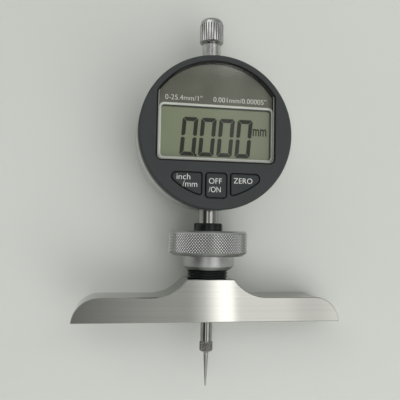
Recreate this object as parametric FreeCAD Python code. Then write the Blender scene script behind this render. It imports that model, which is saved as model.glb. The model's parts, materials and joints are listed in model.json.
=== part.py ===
"""Dial depth gauge: a round digital indicator held by its stem in the clamp of a depth base.

The gauge is drawn in its own axes and laid down at the end.
X runs along the measuring face, Y up the stem to the lifting knob, Z out of the display.
Y = 0 is the measuring face, and X = Z = 0 is the stem's axis. Sizes are in millimetres.
"""
import FreeCAD
import Part
import math
import os

from FreeCAD import Placement, Rotation, Vector

# Depth base
BASE_WIDTH = 101.5
BASE_DEPTH = 16.0
ARM_HEIGHT = 9.2
CREST_HEIGHT = 15.8
CREST_WIDTH = 17.8
END_RADIUS = 10.0
FLARE_RADIUS = 15.5
BASE_EDGE_BREAK = 0.25
FACE_BORE_R = 4.4
SPIGOT_R = 6.5
SPIGOT_LENGTH = 9.0

# Clamp sleeve, a split collet on a threaded body
THREAD_R = 7.9
THREAD_LENGTH = 11.4
SLEEVE_NECK_R = 7.1
SLEEVE_NECK_LENGTH = 1.0
SLEEVE_CONE_LENGTH = 4.8
COLLET_R = 5.6
COLLET_LENGTH = 3.8
COLLET_BREAK = 0.4
STEM_BORE_LENGTH = 17.0
SLIT_WIDTH = 0.9
SLIT_COUNT = 3
SLIT_LENGTH = 13.3
SLIT_FIRST_DEG = 45.0

# Clamp nut
NUT_R = 15.2
NUT_LIFT = 3.4
NUT_SKIRT_R = 10.1
NUT_SKIRT_LENGTH = 5.2
NUT_SKIRT_BREAK = 1.3
NUT_FLANGE_LENGTH = 9.4
NUT_LOWER_BEVEL = 1.9
NUT_LOWER_BEVEL_RISE = 1.3
NUT_TOP_BEVEL = 0.9
NUT_THREAD_GAP = 0.07
NUT_CONE_GAP = 0.08

# Indicator head
STEM_SHOWN = 4.85
HEAD_R = 28.7
HEAD_FRONT = 14.0
HEAD_BACK = -8.5
BEZEL_BACK = 8.4
BEZEL_WALL = 1.7
BEZEL_PLATE = 1.8
BEZEL_BEVEL = 0.5
GASKET_THICKNESS = 0.6
CASE_INSET = 0.2
CASE_WALL = 3.0
LIP_WALL = 1.3
LIP_RISE = 2.6
LIP_GAP = 0.1
COVER_THICKNESS = 2.2
COVER_BEVEL = 0.6

# Window and display
WINDOW_HALF_WIDTH = 22.0
WINDOW_ARC_R = 26.2
WINDOW_DROP = 10.8
WINDOW_CORNER_R = 1.8
WINDOW_GAP = 0.4
LENS_SUNK = 0.4
LENS_FLANGE = 0.75
LENS_FLANGE_THICKNESS = 0.8
MASK_THICKNESS = 0.4
LCD_WIDTH = 44.0
LCD_HEIGHT = 21.6
LCD_THICKNESS = 2.4
LCD_RISE = 0.2
LCD_VIEW_WIDTH = 42.4
LCD_VIEW_HEIGHT = 19.4
LCD_FRAME_WALL = 0.9
ZEBRA_WIDTH = 38.0
ZEBRA_DEPTH = 1.8

# Buttons
BUTTON_TRAVEL = 0.5
BUTTON_PROUD = 0.35
BUTTON_GAP = 0.4
BUTTON_FLANGE = 0.7
BUTTON_FLANGE_THICKNESS = 1.2
BUTTON_TOP = -15.25
SIDE_BUTTON_INNER = 5.45
SIDE_BUTTON_ARC_R = 23.9
SIDE_BUTTON_TIP_R = 1.6
SIDE_BUTTON_CORNER_R = 0.8
MIDDLE_BUTTON_HALF_WIDTH = 3.8
MIDDLE_BUTTON_BOTTOM = -24.1
MIDDLE_BUTTON_CORNER_R = 1.1
BUTTON_EDGE_BREAK = 0.3
DOME_R = 2.2
DOME_TIP_R = 1.3
DOME_PITCH = 10.2
DOME_ROW = -18.8
PAD_THICKNESS = 0.8
PAD_CLEARANCE = 0.1

# Circuit board and sensor
BOARD_BACK = 4.2
BOARD_THICKNESS = 1.2
BOARD_EDGE_GAP = 0.3
BOARD_SCREW_X = 4.5
BOARD_SCREW_INSET = 1.05
BOARD_SCREW_R = 0.7
BOARD_SCREW_HEAD_R = 1.2
BOARD_SCREW_HEAD = 1.0
BOARD_SCREW_LENGTH = 4.0
CHIP_R = 4.0
CHIP_THICKNESS = 1.1
CHIP_SLOPE = 0.7
SENSOR_WIDTH = 12.0
SENSOR_RISE = 12.1
SENSOR_LENGTH = 24.0
SENSOR_THICKNESS = 0.4
SENSOR_GAP = 0.1

# Blocks and bosses inside the case
BLOCK_HALF_WIDTH = 6.5
BLOCK_SPRING_SIDE = 10.5
LOWER_BLOCK_RISE = 2.75
BOSS_R = 2.4
BOSS_INSET = 4.2
COVER_SCREW_R = 1.0
COVER_SCREW_LENGTH = 6.5
COVER_SCREW_HEAD_R = 1.9
COVER_SCREW_HEAD = 0.9
SCREW_GAP = 0.05
SCREW_SUNK = 0.1
SCREW_SLOT_WIDTH = 0.5
SCREW_SLOT_DEPTH = 0.4

# Stem and plunger
STEM_R = 4.0
STEM_LIFT = 5.2
STEM_BREAK = 0.3
STEM_CLAMP_GAP = 0.04
STEM_SPIGOT_R = 3.2
STEM_BORE_R = 2.5
STEM_SEAT_DEPTH = 0.6
BUSH_R = 3.1
BUSH_LENGTH = 8.0
SPINDLE_R = 2.25
SPINDLE_GAP = 0.04
UPPER_BUSHING_R = 3.6
UPPER_BUSHING_SPIGOT_R = 3.0
UPPER_BUSHING_SHOWN = 8.3
TRAVEL = 25.4

# Contact point
COLLAR_R = 2.6
COLLAR_DROP = 8.1
COLLAR_LENGTH = 3.9
COLLAR_BREAK = 0.3
NEEDLE_R = 0.9
NEEDLE_TIP_R = 0.4
NEEDLE_SHY = 0.1
NEEDLE_TAPER = 11.0
NEEDLE_NECK = 1.0
THREAD_STUD_R = 1.2
THREAD_STUD_GAP = 0.05
CONTACT_STUD_LENGTH = 5.0

# Lifting knob
KNOB_R = 4.7
KNOB_LENGTH = 9.65
KNOB_GAP = 0.5
KNOB_LOWER_BEVEL = 0.9
KNOB_FLUTE_RISE = 1.1
KNOB_CROWN = 2.3
KNOB_SHOULDER = 0.25
KNOB_CROWN_FALL = 0.75
KNOB_CROWN_BULGE = 0.55
KNOB_DOME_R = 2.6
KNOB_FLUTES = 28
KNOB_FLUTE_DEPTH = 0.2
KNOB_FLUTE_HALF_WIDTH = 0.34
KNOB_STUD_LENGTH = 5.5

# Scale carrier, guide and return spring
CARRIER_GAP = 0.5
CARRIER_LENGTH = 19.0
CARRIER_HALF_WIDTH = 6.0
CARRIER_BACK = -1.2
CARRIER_ARM_REACH = 3.9
CARRIER_ARM_LENGTH = 2.4
CARRIER_ARM_THICKNESS = 2.6
STRIP_THICKNESS = 0.4
STRIP_MARGIN = 0.5
STOP_WASHER_R = 4.0
STOP_WASHER_THICKNESS = 0.4
GUIDE_PIN_R = 0.6
GUIDE_PIN_ENGAGE = 2.0
GUIDE_PIN_HOLD = 2.5
GUIDE_PIN_RISE = 10.0
GUIDE_PIN_Z = 1.5
RAIL_NEAR = 8.0
RAIL_WIDTH = 3.0
RAIL_BACK = 0.0
RAIL_END_GAP = 0.3
RAIL_SLOT_GAP = 0.05
RAIL_SLOT_EXTRA = 0.3
SPRING_X = -8.2
SPRING_Z = 1.0
SPRING_R = 1.25
SPRING_WIRE_R = 0.25
SPRING_TURNS = 8
SPRING_RUNS = 10
SPRING_WIRE_SIDES = 6
SPRING_END_GAP = 0.1

# Battery
BATTERY_R = 10.0
BATTERY_THICKNESS = 3.2
BATTERY_STEP = 0.3
BATTERY_RIM = 1.2
BATTERY_X = 12.5
BATTERY_TOP = -2.4
CAP_R = 11.0
CAP_GAP = 0.15
CAP_SUNK = 0.1
CAP_PLUG_R = 9.6
CAP_TAB_REACH = 1.2
CAP_TAB_ROOT = 1.0
CAP_TAB_HALF_DEG = 12.0
CAP_TAB_THICKNESS = 0.5
CAP_TAB_LIFT = 0.1
CAP_TURN_DEG = 60.0
CAP_NOTCH_EASE_DEG = 2.0
CAP_NOTCH_DEPTH = 1.2
CAP_SLOT_WIDTH = 1.6
CAP_SLOT_LENGTH = 14.0
CAP_SLOT_DEPTH = 0.7
CLIP_THICKNESS = 0.3
CLIP_GAP = 0.1
CLIP_INSET = 1.0
CLIP_HALF_DEG = 50.0
CLIP_LEG_HALF_DEG = 9.0
CONTACT_ARM_LENGTH = 8.0
CONTACT_ARM_WIDTH = 3.0
CONTACT_LEG_GAP = 0.2

# Heights up the stem that follow from the sizes above
THREAD_TOP = CREST_HEIGHT + THREAD_LENGTH
SLEEVE_CONE_START = THREAD_TOP + SLEEVE_NECK_LENGTH
SLEEVE_CONE_END = SLEEVE_CONE_START + SLEEVE_CONE_LENGTH
COLLET_TOP = SLEEVE_CONE_END + COLLET_LENGTH
SLIT_START = COLLET_TOP - SLIT_LENGTH
NUT_BOTTOM = CREST_HEIGHT + NUT_LIFT
NUT_FLANGE_BOTTOM = NUT_BOTTOM + NUT_SKIRT_LENGTH
NUT_TOP = NUT_FLANGE_BOTTOM + NUT_FLANGE_LENGTH
CASE_R = HEAD_R - CASE_INSET
CASE_INNER_R = CASE_R - CASE_WALL
HEAD_CENTRE = COLLET_TOP + STEM_SHOWN + CASE_R
STEM_BOTTOM = CREST_HEIGHT + STEM_LIFT
STEM_TOP = HEAD_CENTRE - CASE_R + STEM_SEAT_DEPTH
LOWER_BLOCK_TOP = HEAD_CENTRE - CASE_INNER_R + LOWER_BLOCK_RISE
CARRIER_BOTTOM = LOWER_BLOCK_TOP + CARRIER_GAP
CARRIER_TOP = CARRIER_BOTTOM + CARRIER_LENGTH
UPPER_BLOCK_BOTTOM = CARRIER_TOP + TRAVEL + CARRIER_GAP
UPPER_BUSHING_SEAT = HEAD_CENTRE + CASE_R - STEM_SEAT_DEPTH
UPPER_BUSHING_TOP = HEAD_CENTRE + HEAD_R + UPPER_BUSHING_SHOWN
KNOB_BOTTOM = UPPER_BUSHING_TOP + KNOB_GAP
KNOB_TOP = KNOB_BOTTOM + KNOB_LENGTH
KNOB_FLUTE_START = KNOB_BOTTOM + KNOB_FLUTE_RISE
KNOB_FLUTE_END = KNOB_TOP - KNOB_CROWN
COLLAR_TOP = -COLLAR_DROP
NEEDLE_TIP = -(TRAVEL - NEEDLE_SHY)
SENSOR_START = CARRIER_BOTTOM + SENSOR_RISE

# Levels through the head, from back to front
CASE_BACK = HEAD_BACK + COVER_THICKNESS
CASE_FRONT = BEZEL_BACK - GASKET_THICKNESS
BEZEL_INNER_R = HEAD_R - BEZEL_WALL
LIP_OUTER_R = BEZEL_INNER_R - LIP_GAP
LIP_INNER_R = LIP_OUTER_R - LIP_WALL
PLATE_BACK = HEAD_FRONT - BEZEL_PLATE
LENS_BACK = PLATE_BACK - LENS_FLANGE_THICKNESS
MASK_BACK = LENS_BACK - MASK_THICKNESS
LCD_FRONT = MASK_BACK
LCD_BACK = LCD_FRONT - LCD_THICKNESS
LCD_CENTRE = HEAD_CENTRE + LCD_RISE
BOARD_FRONT = BOARD_BACK + BOARD_THICKNESS
BOARD_R = CASE_INNER_R - BOARD_EDGE_GAP
SENSOR_BACK = BOARD_BACK - SENSOR_THICKNESS
STRIP_FRONT = SENSOR_BACK - SENSOR_GAP
CARRIER_FRONT = STRIP_FRONT - STRIP_THICKNESS
BUTTON_BACK = PLATE_BACK - SCREW_GAP - BUTTON_FLANGE_THICKNESS - BUTTON_TRAVEL
DOME_TOP = BUTTON_BACK - BUTTON_TRAVEL - PAD_CLEARANCE
BATTERY_BACK = BATTERY_TOP - BATTERY_THICKNESS
BOSS_ANGLES = [45.0, 135.0, 225.0, 315.0]
BOSS_CIRCLE_R = CASE_R - BOSS_INSET

# The gauge lies on its clamp nut and on the lower back edge of one end of its base.
CORNER_REACH = math.hypot(BASE_WIDTH / 2, BASE_DEPTH / 2)
REST_ROLL = math.degrees(math.asin(NUT_R / CORNER_REACH) - math.atan2(BASE_DEPTH, BASE_WIDTH))
REST_MIDDLE = (KNOB_TOP + NEEDLE_TIP) / 2
LYING = Placement(Vector(0, -REST_MIDDLE, NUT_R), Rotation(Vector(0, 1, 0), REST_ROLL))

X_AXIS = Vector(1, 0, 0)
Y_AXIS = Vector(0, 1, 0)
Z_AXIS = Vector(0, 0, 1)


def save(node, shape):
    """Lay the piece down with the others and write it."""
    laid = shape.removeSplitter()
    laid.Placement = LYING.multiply(laid.Placement)
    laid.exportStep(f"parts/{node}.step")
    print(f"{node}: {len(laid.Solids)} solid, {laid.Volume:.1f} mm3")


def block(x0, x1, y0, y1, z0, z1):
    """A box between six planes."""
    return Part.makeBox(x1 - x0, y1 - y0, z1 - z0, Vector(x0, y0, z0))


def disc(radius, z0, z1, x=0.0, y=HEAD_CENTRE):
    """A round plate facing the display's way, centred on the head unless told otherwise."""
    return Part.makeCylinder(radius, z1 - z0, Vector(x, y, z0), Z_AXIS)


def rod(radius, y0, y1, x=0.0, z=0.0):
    """A round bar along the stem's direction."""
    return Part.makeCylinder(radius, y1 - y0, Vector(x, y0, z), Y_AXIS)


def turned(outline):
    """Turn a closed outline of (radius, height) corners about the stem's axis."""
    corners = [Vector(radius, height, 0) for radius, height in outline]
    wire = Part.makePolygon(corners + corners[:1])
    return Part.Face(wire).revolve(Vector(0, 0, 0), Y_AXIS, 360)


def sector(inner, outer, half_angle, z0, z1, middle_angle, x, y):
    """A ring segment about an axis along Z, centred on middle_angle."""
    ring = Part.makeCylinder(outer, z1 - z0, Vector(0, 0, z0), Z_AXIS, 2 * half_angle)
    ring = ring.cut(Part.makeCylinder(inner, z1 - z0, Vector(0, 0, z0), Z_AXIS))
    ring.rotate(Vector(0, 0, 0), Z_AXIS, middle_angle - half_angle)
    ring.translate(Vector(x, y, 0))
    return ring


def rims_at(shape, z):
    """The edges that lie in one plane across Z."""
    found = []
    for edge in shape.Edges:
        box = edge.BoundBox
        if abs(box.ZMin - z) < 1e-4 and abs(box.ZMax - z) < 1e-4:
            found.append(edge)
    return found


def place_on_circle(angle, radius=BOSS_CIRCLE_R):
    """A point on a circle about the head's centre."""
    turn = math.radians(angle)
    return radius * math.cos(turn), HEAD_CENTRE + radius * math.sin(turn)


# Depth base


def base_outline():
    """The base's front outline: flat face, convex ends, flat arms and concave flares to the crest."""
    half = BASE_WIDTH / 2
    end_y = ARM_HEIGHT - END_RADIUS
    end_x = half - END_RADIUS
    foot_x = end_x + math.sqrt(END_RADIUS**2 - end_y**2)
    crest_x = CREST_WIDTH / 2
    rise = CREST_HEIGHT - ARM_HEIGHT
    flare_run = math.sqrt(FLARE_RADIUS**2 - (FLARE_RADIUS - rise) ** 2)
    flare_x = crest_x + flare_run
    flare_y = ARM_HEIGHT + FLARE_RADIUS

    def on_end(turn):
        return end_x + END_RADIUS * math.cos(turn), end_y + END_RADIUS * math.sin(turn)

    def on_flare(turn):
        return flare_x - FLARE_RADIUS * math.sin(turn), flare_y - FLARE_RADIUS * math.cos(turn)

    foot_turn = math.asin(-end_y / END_RADIUS)
    end_middle = on_end((foot_turn + math.pi / 2) / 2)
    flare_turn = math.asin(flare_run / FLARE_RADIUS)
    flare_middle = on_flare(flare_turn / 2)
    edges = [Part.LineSegment(Vector(-foot_x, 0, 0), Vector(foot_x, 0, 0)).toShape()]
    edges.append(Part.LineSegment(Vector(-crest_x, CREST_HEIGHT, 0), Vector(crest_x, CREST_HEIGHT, 0)).toShape())
    for side in (1, -1):
        foot = Vector(side * foot_x, 0, 0)
        shoulder = Vector(side * end_x, ARM_HEIGHT, 0)
        root = Vector(side * flare_x, ARM_HEIGHT, 0)
        crest = Vector(side * crest_x, CREST_HEIGHT, 0)
        edges.append(Part.Arc(foot, Vector(side * end_middle[0], end_middle[1], 0), shoulder).toShape())
        edges.append(Part.LineSegment(shoulder, root).toShape())
        edges.append(Part.Arc(root, Vector(side * flare_middle[0], flare_middle[1], 0), crest).toShape())
    return Part.Wire(Part.__sortEdges__(edges))


def base_bar():
    """The ground bar with its plunger bore and the seat of the clamp sleeve."""
    bar = Part.Face(base_outline()).extrude(Z_AXIS * BASE_DEPTH)
    bar.translate(Z_AXIS * (-BASE_DEPTH / 2))
    faces = rims_at(bar, -BASE_DEPTH / 2) + rims_at(bar, BASE_DEPTH / 2)
    bar = bar.makeChamfer(BASE_EDGE_BREAK, faces)
    bar = bar.cut(rod(FACE_BORE_R, 0, CREST_HEIGHT))
    return bar.cut(rod(SPIGOT_R, CREST_HEIGHT - SPIGOT_LENGTH, CREST_HEIGHT))


# Clamp


def clamp_sleeve():
    """The threaded sleeve pressed into the base, with a slit collet at its top for the stem."""
    stem_bore = STEM_R + STEM_CLAMP_GAP
    stem_stop = COLLET_TOP - STEM_BORE_LENGTH
    body = turned(
        [
            (FACE_BORE_R, CREST_HEIGHT - SPIGOT_LENGTH),
            (SPIGOT_R, CREST_HEIGHT - SPIGOT_LENGTH),
            (SPIGOT_R, CREST_HEIGHT),
            (THREAD_R, CREST_HEIGHT),
            (THREAD_R, THREAD_TOP),
            (SLEEVE_NECK_R, THREAD_TOP),
            (SLEEVE_NECK_R, SLEEVE_CONE_START),
            (COLLET_R, SLEEVE_CONE_END),
            (COLLET_R, COLLET_TOP - COLLET_BREAK),
            (COLLET_R - COLLET_BREAK, COLLET_TOP),
            (stem_bore, COLLET_TOP),
            (stem_bore, stem_stop),
            (FACE_BORE_R, stem_stop),
        ]
    )
    for index in range(SLIT_COUNT):
        slit = block(0, THREAD_R, SLIT_START, COLLET_TOP, -SLIT_WIDTH / 2, SLIT_WIDTH / 2)
        slit.rotate(Vector(0, 0, 0), Y_AXIS, SLIT_FIRST_DEG - 90 + index * 360 / SLIT_COUNT)
        body = body.cut(slit)
    return body


def clamp_nut():
    """The nut that pulls down over the sleeve's cone: grip flange above, plain skirt below."""
    bore = THREAD_R + NUT_THREAD_GAP
    throat = COLLET_R + NUT_CONE_GAP
    return turned(
        [
            (bore, NUT_BOTTOM),
            (NUT_SKIRT_R - NUT_SKIRT_BREAK, NUT_BOTTOM),
            (NUT_SKIRT_R, NUT_BOTTOM + NUT_SKIRT_BREAK),
            (NUT_SKIRT_R, NUT_FLANGE_BOTTOM),
            (NUT_R - NUT_LOWER_BEVEL, NUT_FLANGE_BOTTOM),
            (NUT_R, NUT_FLANGE_BOTTOM + NUT_LOWER_BEVEL_RISE),
            (NUT_R, NUT_TOP - NUT_TOP_BEVEL),
            (NUT_R - NUT_TOP_BEVEL, NUT_TOP),
            (throat, NUT_TOP),
            (throat, SLEEVE_CONE_END),
            (SLEEVE_NECK_R + NUT_CONE_GAP, SLEEVE_CONE_START),
            (bore, SLEEVE_CONE_START - (bore - SLEEVE_NECK_R - NUT_CONE_GAP)),
        ]
    )


# Window, buttons and the openings they share with the bezel


def rounded_plate(arcs, grow, z0, z1):
    """A plate whose outline runs anticlockwise over tangent arcs, with straight runs between them.

    Each arc is (x, y, radius, first angle, last angle) from the head's centre, and a margin grows them all.
    """
    edges = []
    ends = []
    for x, y, radius, first, last in arcs:
        points = []
        for angle in (first, (first + last) / 2, last):
            turn = math.radians(angle)
            points.append(Vector(x + (radius + grow) * math.cos(turn), y + (radius + grow) * math.sin(turn), 0))
        edges.append(Part.Arc(*points).toShape())
        ends.append((points[0], points[2]))
    for (_, leave), (meet, _) in zip(ends, ends[1:] + ends[:1]):
        if leave.distanceToPoint(meet) > 1e-6:
            edges.append(Part.LineSegment(leave, meet).toShape())
    plate = Part.Face(Part.Wire(Part.__sortEdges__(edges))).extrude(Z_AXIS * (z1 - z0))
    plate.translate(Vector(0, HEAD_CENTRE, z0))
    return plate


def window_arcs():
    """The window: a large arc above, upright sides and a straight foot."""
    x = WINDOW_HALF_WIDTH - WINDOW_CORNER_R
    low = WINDOW_CORNER_R - WINDOW_DROP
    high = math.sqrt((WINDOW_ARC_R - WINDOW_CORNER_R) ** 2 - x**2)
    shoulder = math.degrees(math.atan2(high, x))
    return [
        (x, low, WINDOW_CORNER_R, -90, 0),
        (x, high, WINDOW_CORNER_R, 0, shoulder),
        (0, 0, WINDOW_ARC_R, shoulder, 180 - shoulder),
        (-x, high, WINDOW_CORNER_R, 180 - shoulder, 180),
        (-x, low, WINDOW_CORNER_R, 180, 270),
    ]


def right_button_arcs():
    """The right button: straight top and inner side, and an arc about the head's centre from tip to foot."""
    x = SIDE_BUTTON_INNER + SIDE_BUTTON_CORNER_R
    foot = -math.sqrt((SIDE_BUTTON_ARC_R - SIDE_BUTTON_CORNER_R) ** 2 - x**2)
    tip_y = BUTTON_TOP - SIDE_BUTTON_TIP_R
    tip_x = math.sqrt((SIDE_BUTTON_ARC_R - SIDE_BUTTON_TIP_R) ** 2 - tip_y**2)
    foot_turn = math.degrees(math.atan2(foot, x))
    tip_turn = math.degrees(math.atan2(tip_y, tip_x))
    return [
        (x, BUTTON_TOP - SIDE_BUTTON_CORNER_R, SIDE_BUTTON_CORNER_R, 90, 180),
        (x, foot, SIDE_BUTTON_CORNER_R, -180, foot_turn),
        (0, 0, SIDE_BUTTON_ARC_R, foot_turn, tip_turn),
        (tip_x, tip_y, SIDE_BUTTON_TIP_R, tip_turn, 90),
    ]


def left_button_arcs():
    """The left button, the right one's mirror image."""
    return [(-x, y, radius, 180 - last, 180 - first) for x, y, radius, first, last in reversed(right_button_arcs())]


def middle_button_arcs():
    """The middle button: a rounded rectangle."""
    radius = MIDDLE_BUTTON_CORNER_R
    x = MIDDLE_BUTTON_HALF_WIDTH - radius
    top = BUTTON_TOP - radius
    foot = MIDDLE_BUTTON_BOTTOM + radius
    return [(x, foot, radius, -90, 0), (x, top, radius, 0, 90), (-x, top, radius, 90, 180), (-x, foot, radius, 180, 270)]


BUTTON_ARCS = {
    "inch_mm_button": left_button_arcs(),
    "on_off_button": middle_button_arcs(),
    "zero_button": right_button_arcs(),
}


def button(arcs):
    """A button cap with its broken top edge and the flange that keeps it behind the bezel."""
    front = HEAD_FRONT + BUTTON_PROUD
    flange_front = PLATE_BACK - SCREW_GAP
    cap = rounded_plate(arcs, 0, BUTTON_BACK, front)
    cap = cap.makeChamfer(BUTTON_EDGE_BREAK, rims_at(cap, front))
    return cap.fuse(rounded_plate(arcs, BUTTON_FLANGE, flange_front - BUTTON_FLANGE_THICKNESS, flange_front))


def window_lens():
    """The clear window, let into the bezel from behind."""
    raised = rounded_plate(window_arcs(), 0, PLATE_BACK, HEAD_FRONT - LENS_SUNK)
    return raised.fuse(rounded_plate(window_arcs(), LENS_FLANGE, LENS_BACK, PLATE_BACK))


def face_mask():
    """The printed panel behind the window, open over the display."""
    panel = rounded_plate(window_arcs(), LENS_FLANGE, MASK_BACK, LENS_BACK)
    return panel.cut(display_block(LCD_VIEW_WIDTH, LCD_VIEW_HEIGHT, MASK_BACK, LENS_BACK))


def display_block(width, height, z0, z1):
    """A box centred on the display."""
    return block(-width / 2, width / 2, LCD_CENTRE - height / 2, LCD_CENTRE + height / 2, z0, z1)


def lcd_glass():
    """The display's glass sandwich."""
    return display_block(LCD_WIDTH, LCD_HEIGHT, LCD_BACK, LCD_FRONT)


def lcd_frame():
    """The frame that stands on the board and holds the display, its corners following the case."""
    wall = LCD_FRAME_WALL
    outer = display_block(LCD_WIDTH + 2 * wall, LCD_HEIGHT + 2 * wall, BOARD_FRONT, LCD_FRONT)
    outer = outer.common(disc(LIP_INNER_R - LIP_GAP, BOARD_FRONT, LCD_FRONT))
    ledge = display_block(LCD_WIDTH - 2 * wall, LCD_HEIGHT - 2 * wall, BOARD_FRONT, LCD_FRONT)
    return outer.cut(ledge).cut(lcd_glass())


def zebra_strip():
    """The rubber strip that joins the display to the board."""
    foot = LCD_CENTRE - LCD_HEIGHT / 2 + LCD_FRAME_WALL
    return block(-ZEBRA_WIDTH / 2, ZEBRA_WIDTH / 2, foot, foot + ZEBRA_DEPTH, BOARD_FRONT, LCD_BACK)


# Head shells


def front_bezel():
    """The moulded front: a ring wall and a face plate open for the window and the buttons."""
    shell = disc(HEAD_R, BEZEL_BACK, HEAD_FRONT)
    shell = shell.makeChamfer(BEZEL_BEVEL, rims_at(shell, HEAD_FRONT))
    shell = shell.cut(disc(BEZEL_INNER_R, BEZEL_BACK, PLATE_BACK))
    shell = shell.cut(rounded_plate(window_arcs(), WINDOW_GAP, PLATE_BACK, HEAD_FRONT))
    for arcs in BUTTON_ARCS.values():
        shell = shell.cut(rounded_plate(arcs, BUTTON_GAP, PLATE_BACK, HEAD_FRONT))
    return shell


def bezel_gasket():
    """The rubber ring between the bezel and the case."""
    ring = disc(CASE_R - LIP_GAP, CASE_FRONT, BEZEL_BACK)
    return ring.cut(disc(LIP_OUTER_R, CASE_FRONT, BEZEL_BACK))


def rear_case():
    """The cast case: ring wall, bezel lip, stem and bushing blocks and four screw bosses."""
    solid = disc(CASE_R, CASE_BACK, CASE_FRONT)
    solid = solid.fuse(disc(LIP_OUTER_R, CASE_FRONT, CASE_FRONT + LIP_RISE))
    solid = solid.cut(disc(CASE_INNER_R, CASE_BACK, CASE_FRONT))
    solid = solid.cut(disc(LIP_INNER_R, CASE_BACK, CASE_FRONT + LIP_RISE))
    within = disc(CASE_R - CASE_WALL / 2, CASE_BACK, BOARD_BACK)
    lower = block(-BLOCK_SPRING_SIDE, BLOCK_HALF_WIDTH, HEAD_CENTRE - CASE_R, LOWER_BLOCK_TOP, CASE_BACK, BOARD_BACK)
    upper = block(-BLOCK_HALF_WIDTH, BLOCK_HALF_WIDTH, UPPER_BLOCK_BOTTOM, HEAD_CENTRE + CASE_R, CASE_BACK, BOARD_BACK)
    solid = solid.fuse(lower.common(within)).fuse(upper.common(within))
    for angle in BOSS_ANGLES:
        x, y = place_on_circle(angle)
        solid = solid.fuse(disc(BOSS_R, CASE_BACK, CASE_FRONT, x, y))
    for angle in BOSS_ANGLES:
        x, y = place_on_circle(angle)
        depth = COVER_SCREW_LENGTH - COVER_THICKNESS + SCREW_GAP
        solid = solid.cut(disc(COVER_SCREW_R + SCREW_GAP, CASE_BACK, CASE_BACK + depth, x, y))
    for x, y in board_screw_places():
        depth = BOARD_SCREW_LENGTH - BOARD_THICKNESS + SCREW_GAP
        solid = solid.cut(disc(BOARD_SCREW_R + SCREW_GAP, BOARD_BACK - depth, BOARD_BACK, x, y))
    solid = solid.cut(rod(STEM_R, HEAD_CENTRE - HEAD_R, STEM_TOP))
    solid = solid.cut(rod(STEM_SPIGOT_R, STEM_TOP, LOWER_BLOCK_TOP))
    solid = solid.cut(rod(UPPER_BUSHING_R, UPPER_BUSHING_SEAT, HEAD_CENTRE + HEAD_R))
    return solid.cut(rod(UPPER_BUSHING_SPIGOT_R, UPPER_BLOCK_BOTTOM, UPPER_BUSHING_SEAT))


def back_cover():
    """The flat back, with countersunk screw holes and the battery opening."""
    cover = disc(CASE_R, HEAD_BACK, CASE_BACK)
    cover = cover.makeChamfer(COVER_BEVEL, rims_at(cover, HEAD_BACK))
    for angle in BOSS_ANGLES:
        x, y = place_on_circle(angle)
        cover = cover.cut(disc(COVER_SCREW_R + SCREW_GAP, HEAD_BACK, CASE_BACK, x, y))
        sink = HEAD_BACK + SCREW_SUNK + COVER_SCREW_HEAD
        cover = cover.cut(disc(COVER_SCREW_HEAD_R + SCREW_GAP, HEAD_BACK, sink, x, y))
    cover = cover.cut(disc(CAP_R + CAP_GAP, HEAD_BACK, CASE_BACK, BATTERY_X))
    for middle in (-CAP_TURN_DEG, 180 - CAP_TURN_DEG):
        notch_half = CAP_TAB_HALF_DEG + CAP_NOTCH_EASE_DEG
        cover = cover.cut(cap_tab(middle, notch_half, CAP_GAP, CASE_BACK - CAP_NOTCH_DEPTH, CASE_BACK))
    return cover


def back_cover_screws():
    """Four slotted screws in the back cover."""
    group = []
    for angle in BOSS_ANGLES:
        x, y = place_on_circle(angle)
        top = HEAD_BACK + SCREW_SUNK
        head = disc(COVER_SCREW_HEAD_R, top, top + COVER_SCREW_HEAD, x, y)
        shank = disc(COVER_SCREW_R, top + COVER_SCREW_HEAD, HEAD_BACK + COVER_SCREW_LENGTH, x, y)
        half = SCREW_SLOT_WIDTH / 2
        slot = block(x - BOSS_R, x + BOSS_R, y - half, y + half, top, top + SCREW_SLOT_DEPTH)
        slot.rotate(Vector(x, y, 0), Z_AXIS, angle)
        group.append(head.fuse(shank).cut(slot).removeSplitter())
    return Part.makeCompound(group)


# Battery


def cap_tab(middle, half_angle, grow, z0, z1):
    """One bayonet tab of the battery cap."""
    inner = CAP_PLUG_R - CAP_TAB_ROOT
    outer = CAP_R + CAP_TAB_REACH + grow
    return sector(inner, outer, half_angle, z0, z1, middle, BATTERY_X, HEAD_CENTRE)


def battery_cap():
    """The coin-slotted cap with its two bayonet tabs behind the cover."""
    back = HEAD_BACK + CAP_SUNK
    plug_front = BATTERY_BACK - CAP_TAB_LIFT
    cap = disc(CAP_R, back, CASE_BACK - CAP_TAB_LIFT, BATTERY_X)
    cap = cap.fuse(disc(CAP_PLUG_R, back, plug_front, BATTERY_X))
    for middle in (0, 180):
        tab_back = CASE_BACK + CAP_TAB_LIFT
        tab = cap_tab(middle, CAP_TAB_HALF_DEG, 0, tab_back, tab_back + CAP_TAB_THICKNESS)
        cap = cap.fuse(tab)
    half = CAP_SLOT_LENGTH / 2
    slot = block(BATTERY_X - half, BATTERY_X + half, HEAD_CENTRE - CAP_SLOT_WIDTH / 2,
                 HEAD_CENTRE + CAP_SLOT_WIDTH / 2, back, back + CAP_SLOT_DEPTH)
    return cap.cut(slot)


def battery():
    """The coin cell: a can with a smaller raised face."""
    can = disc(BATTERY_R, BATTERY_BACK, BATTERY_TOP - BATTERY_STEP, BATTERY_X)
    face = disc(BATTERY_R - BATTERY_RIM, BATTERY_TOP - BATTERY_STEP, BATTERY_TOP, BATTERY_X)
    return can.fuse(face)


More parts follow.
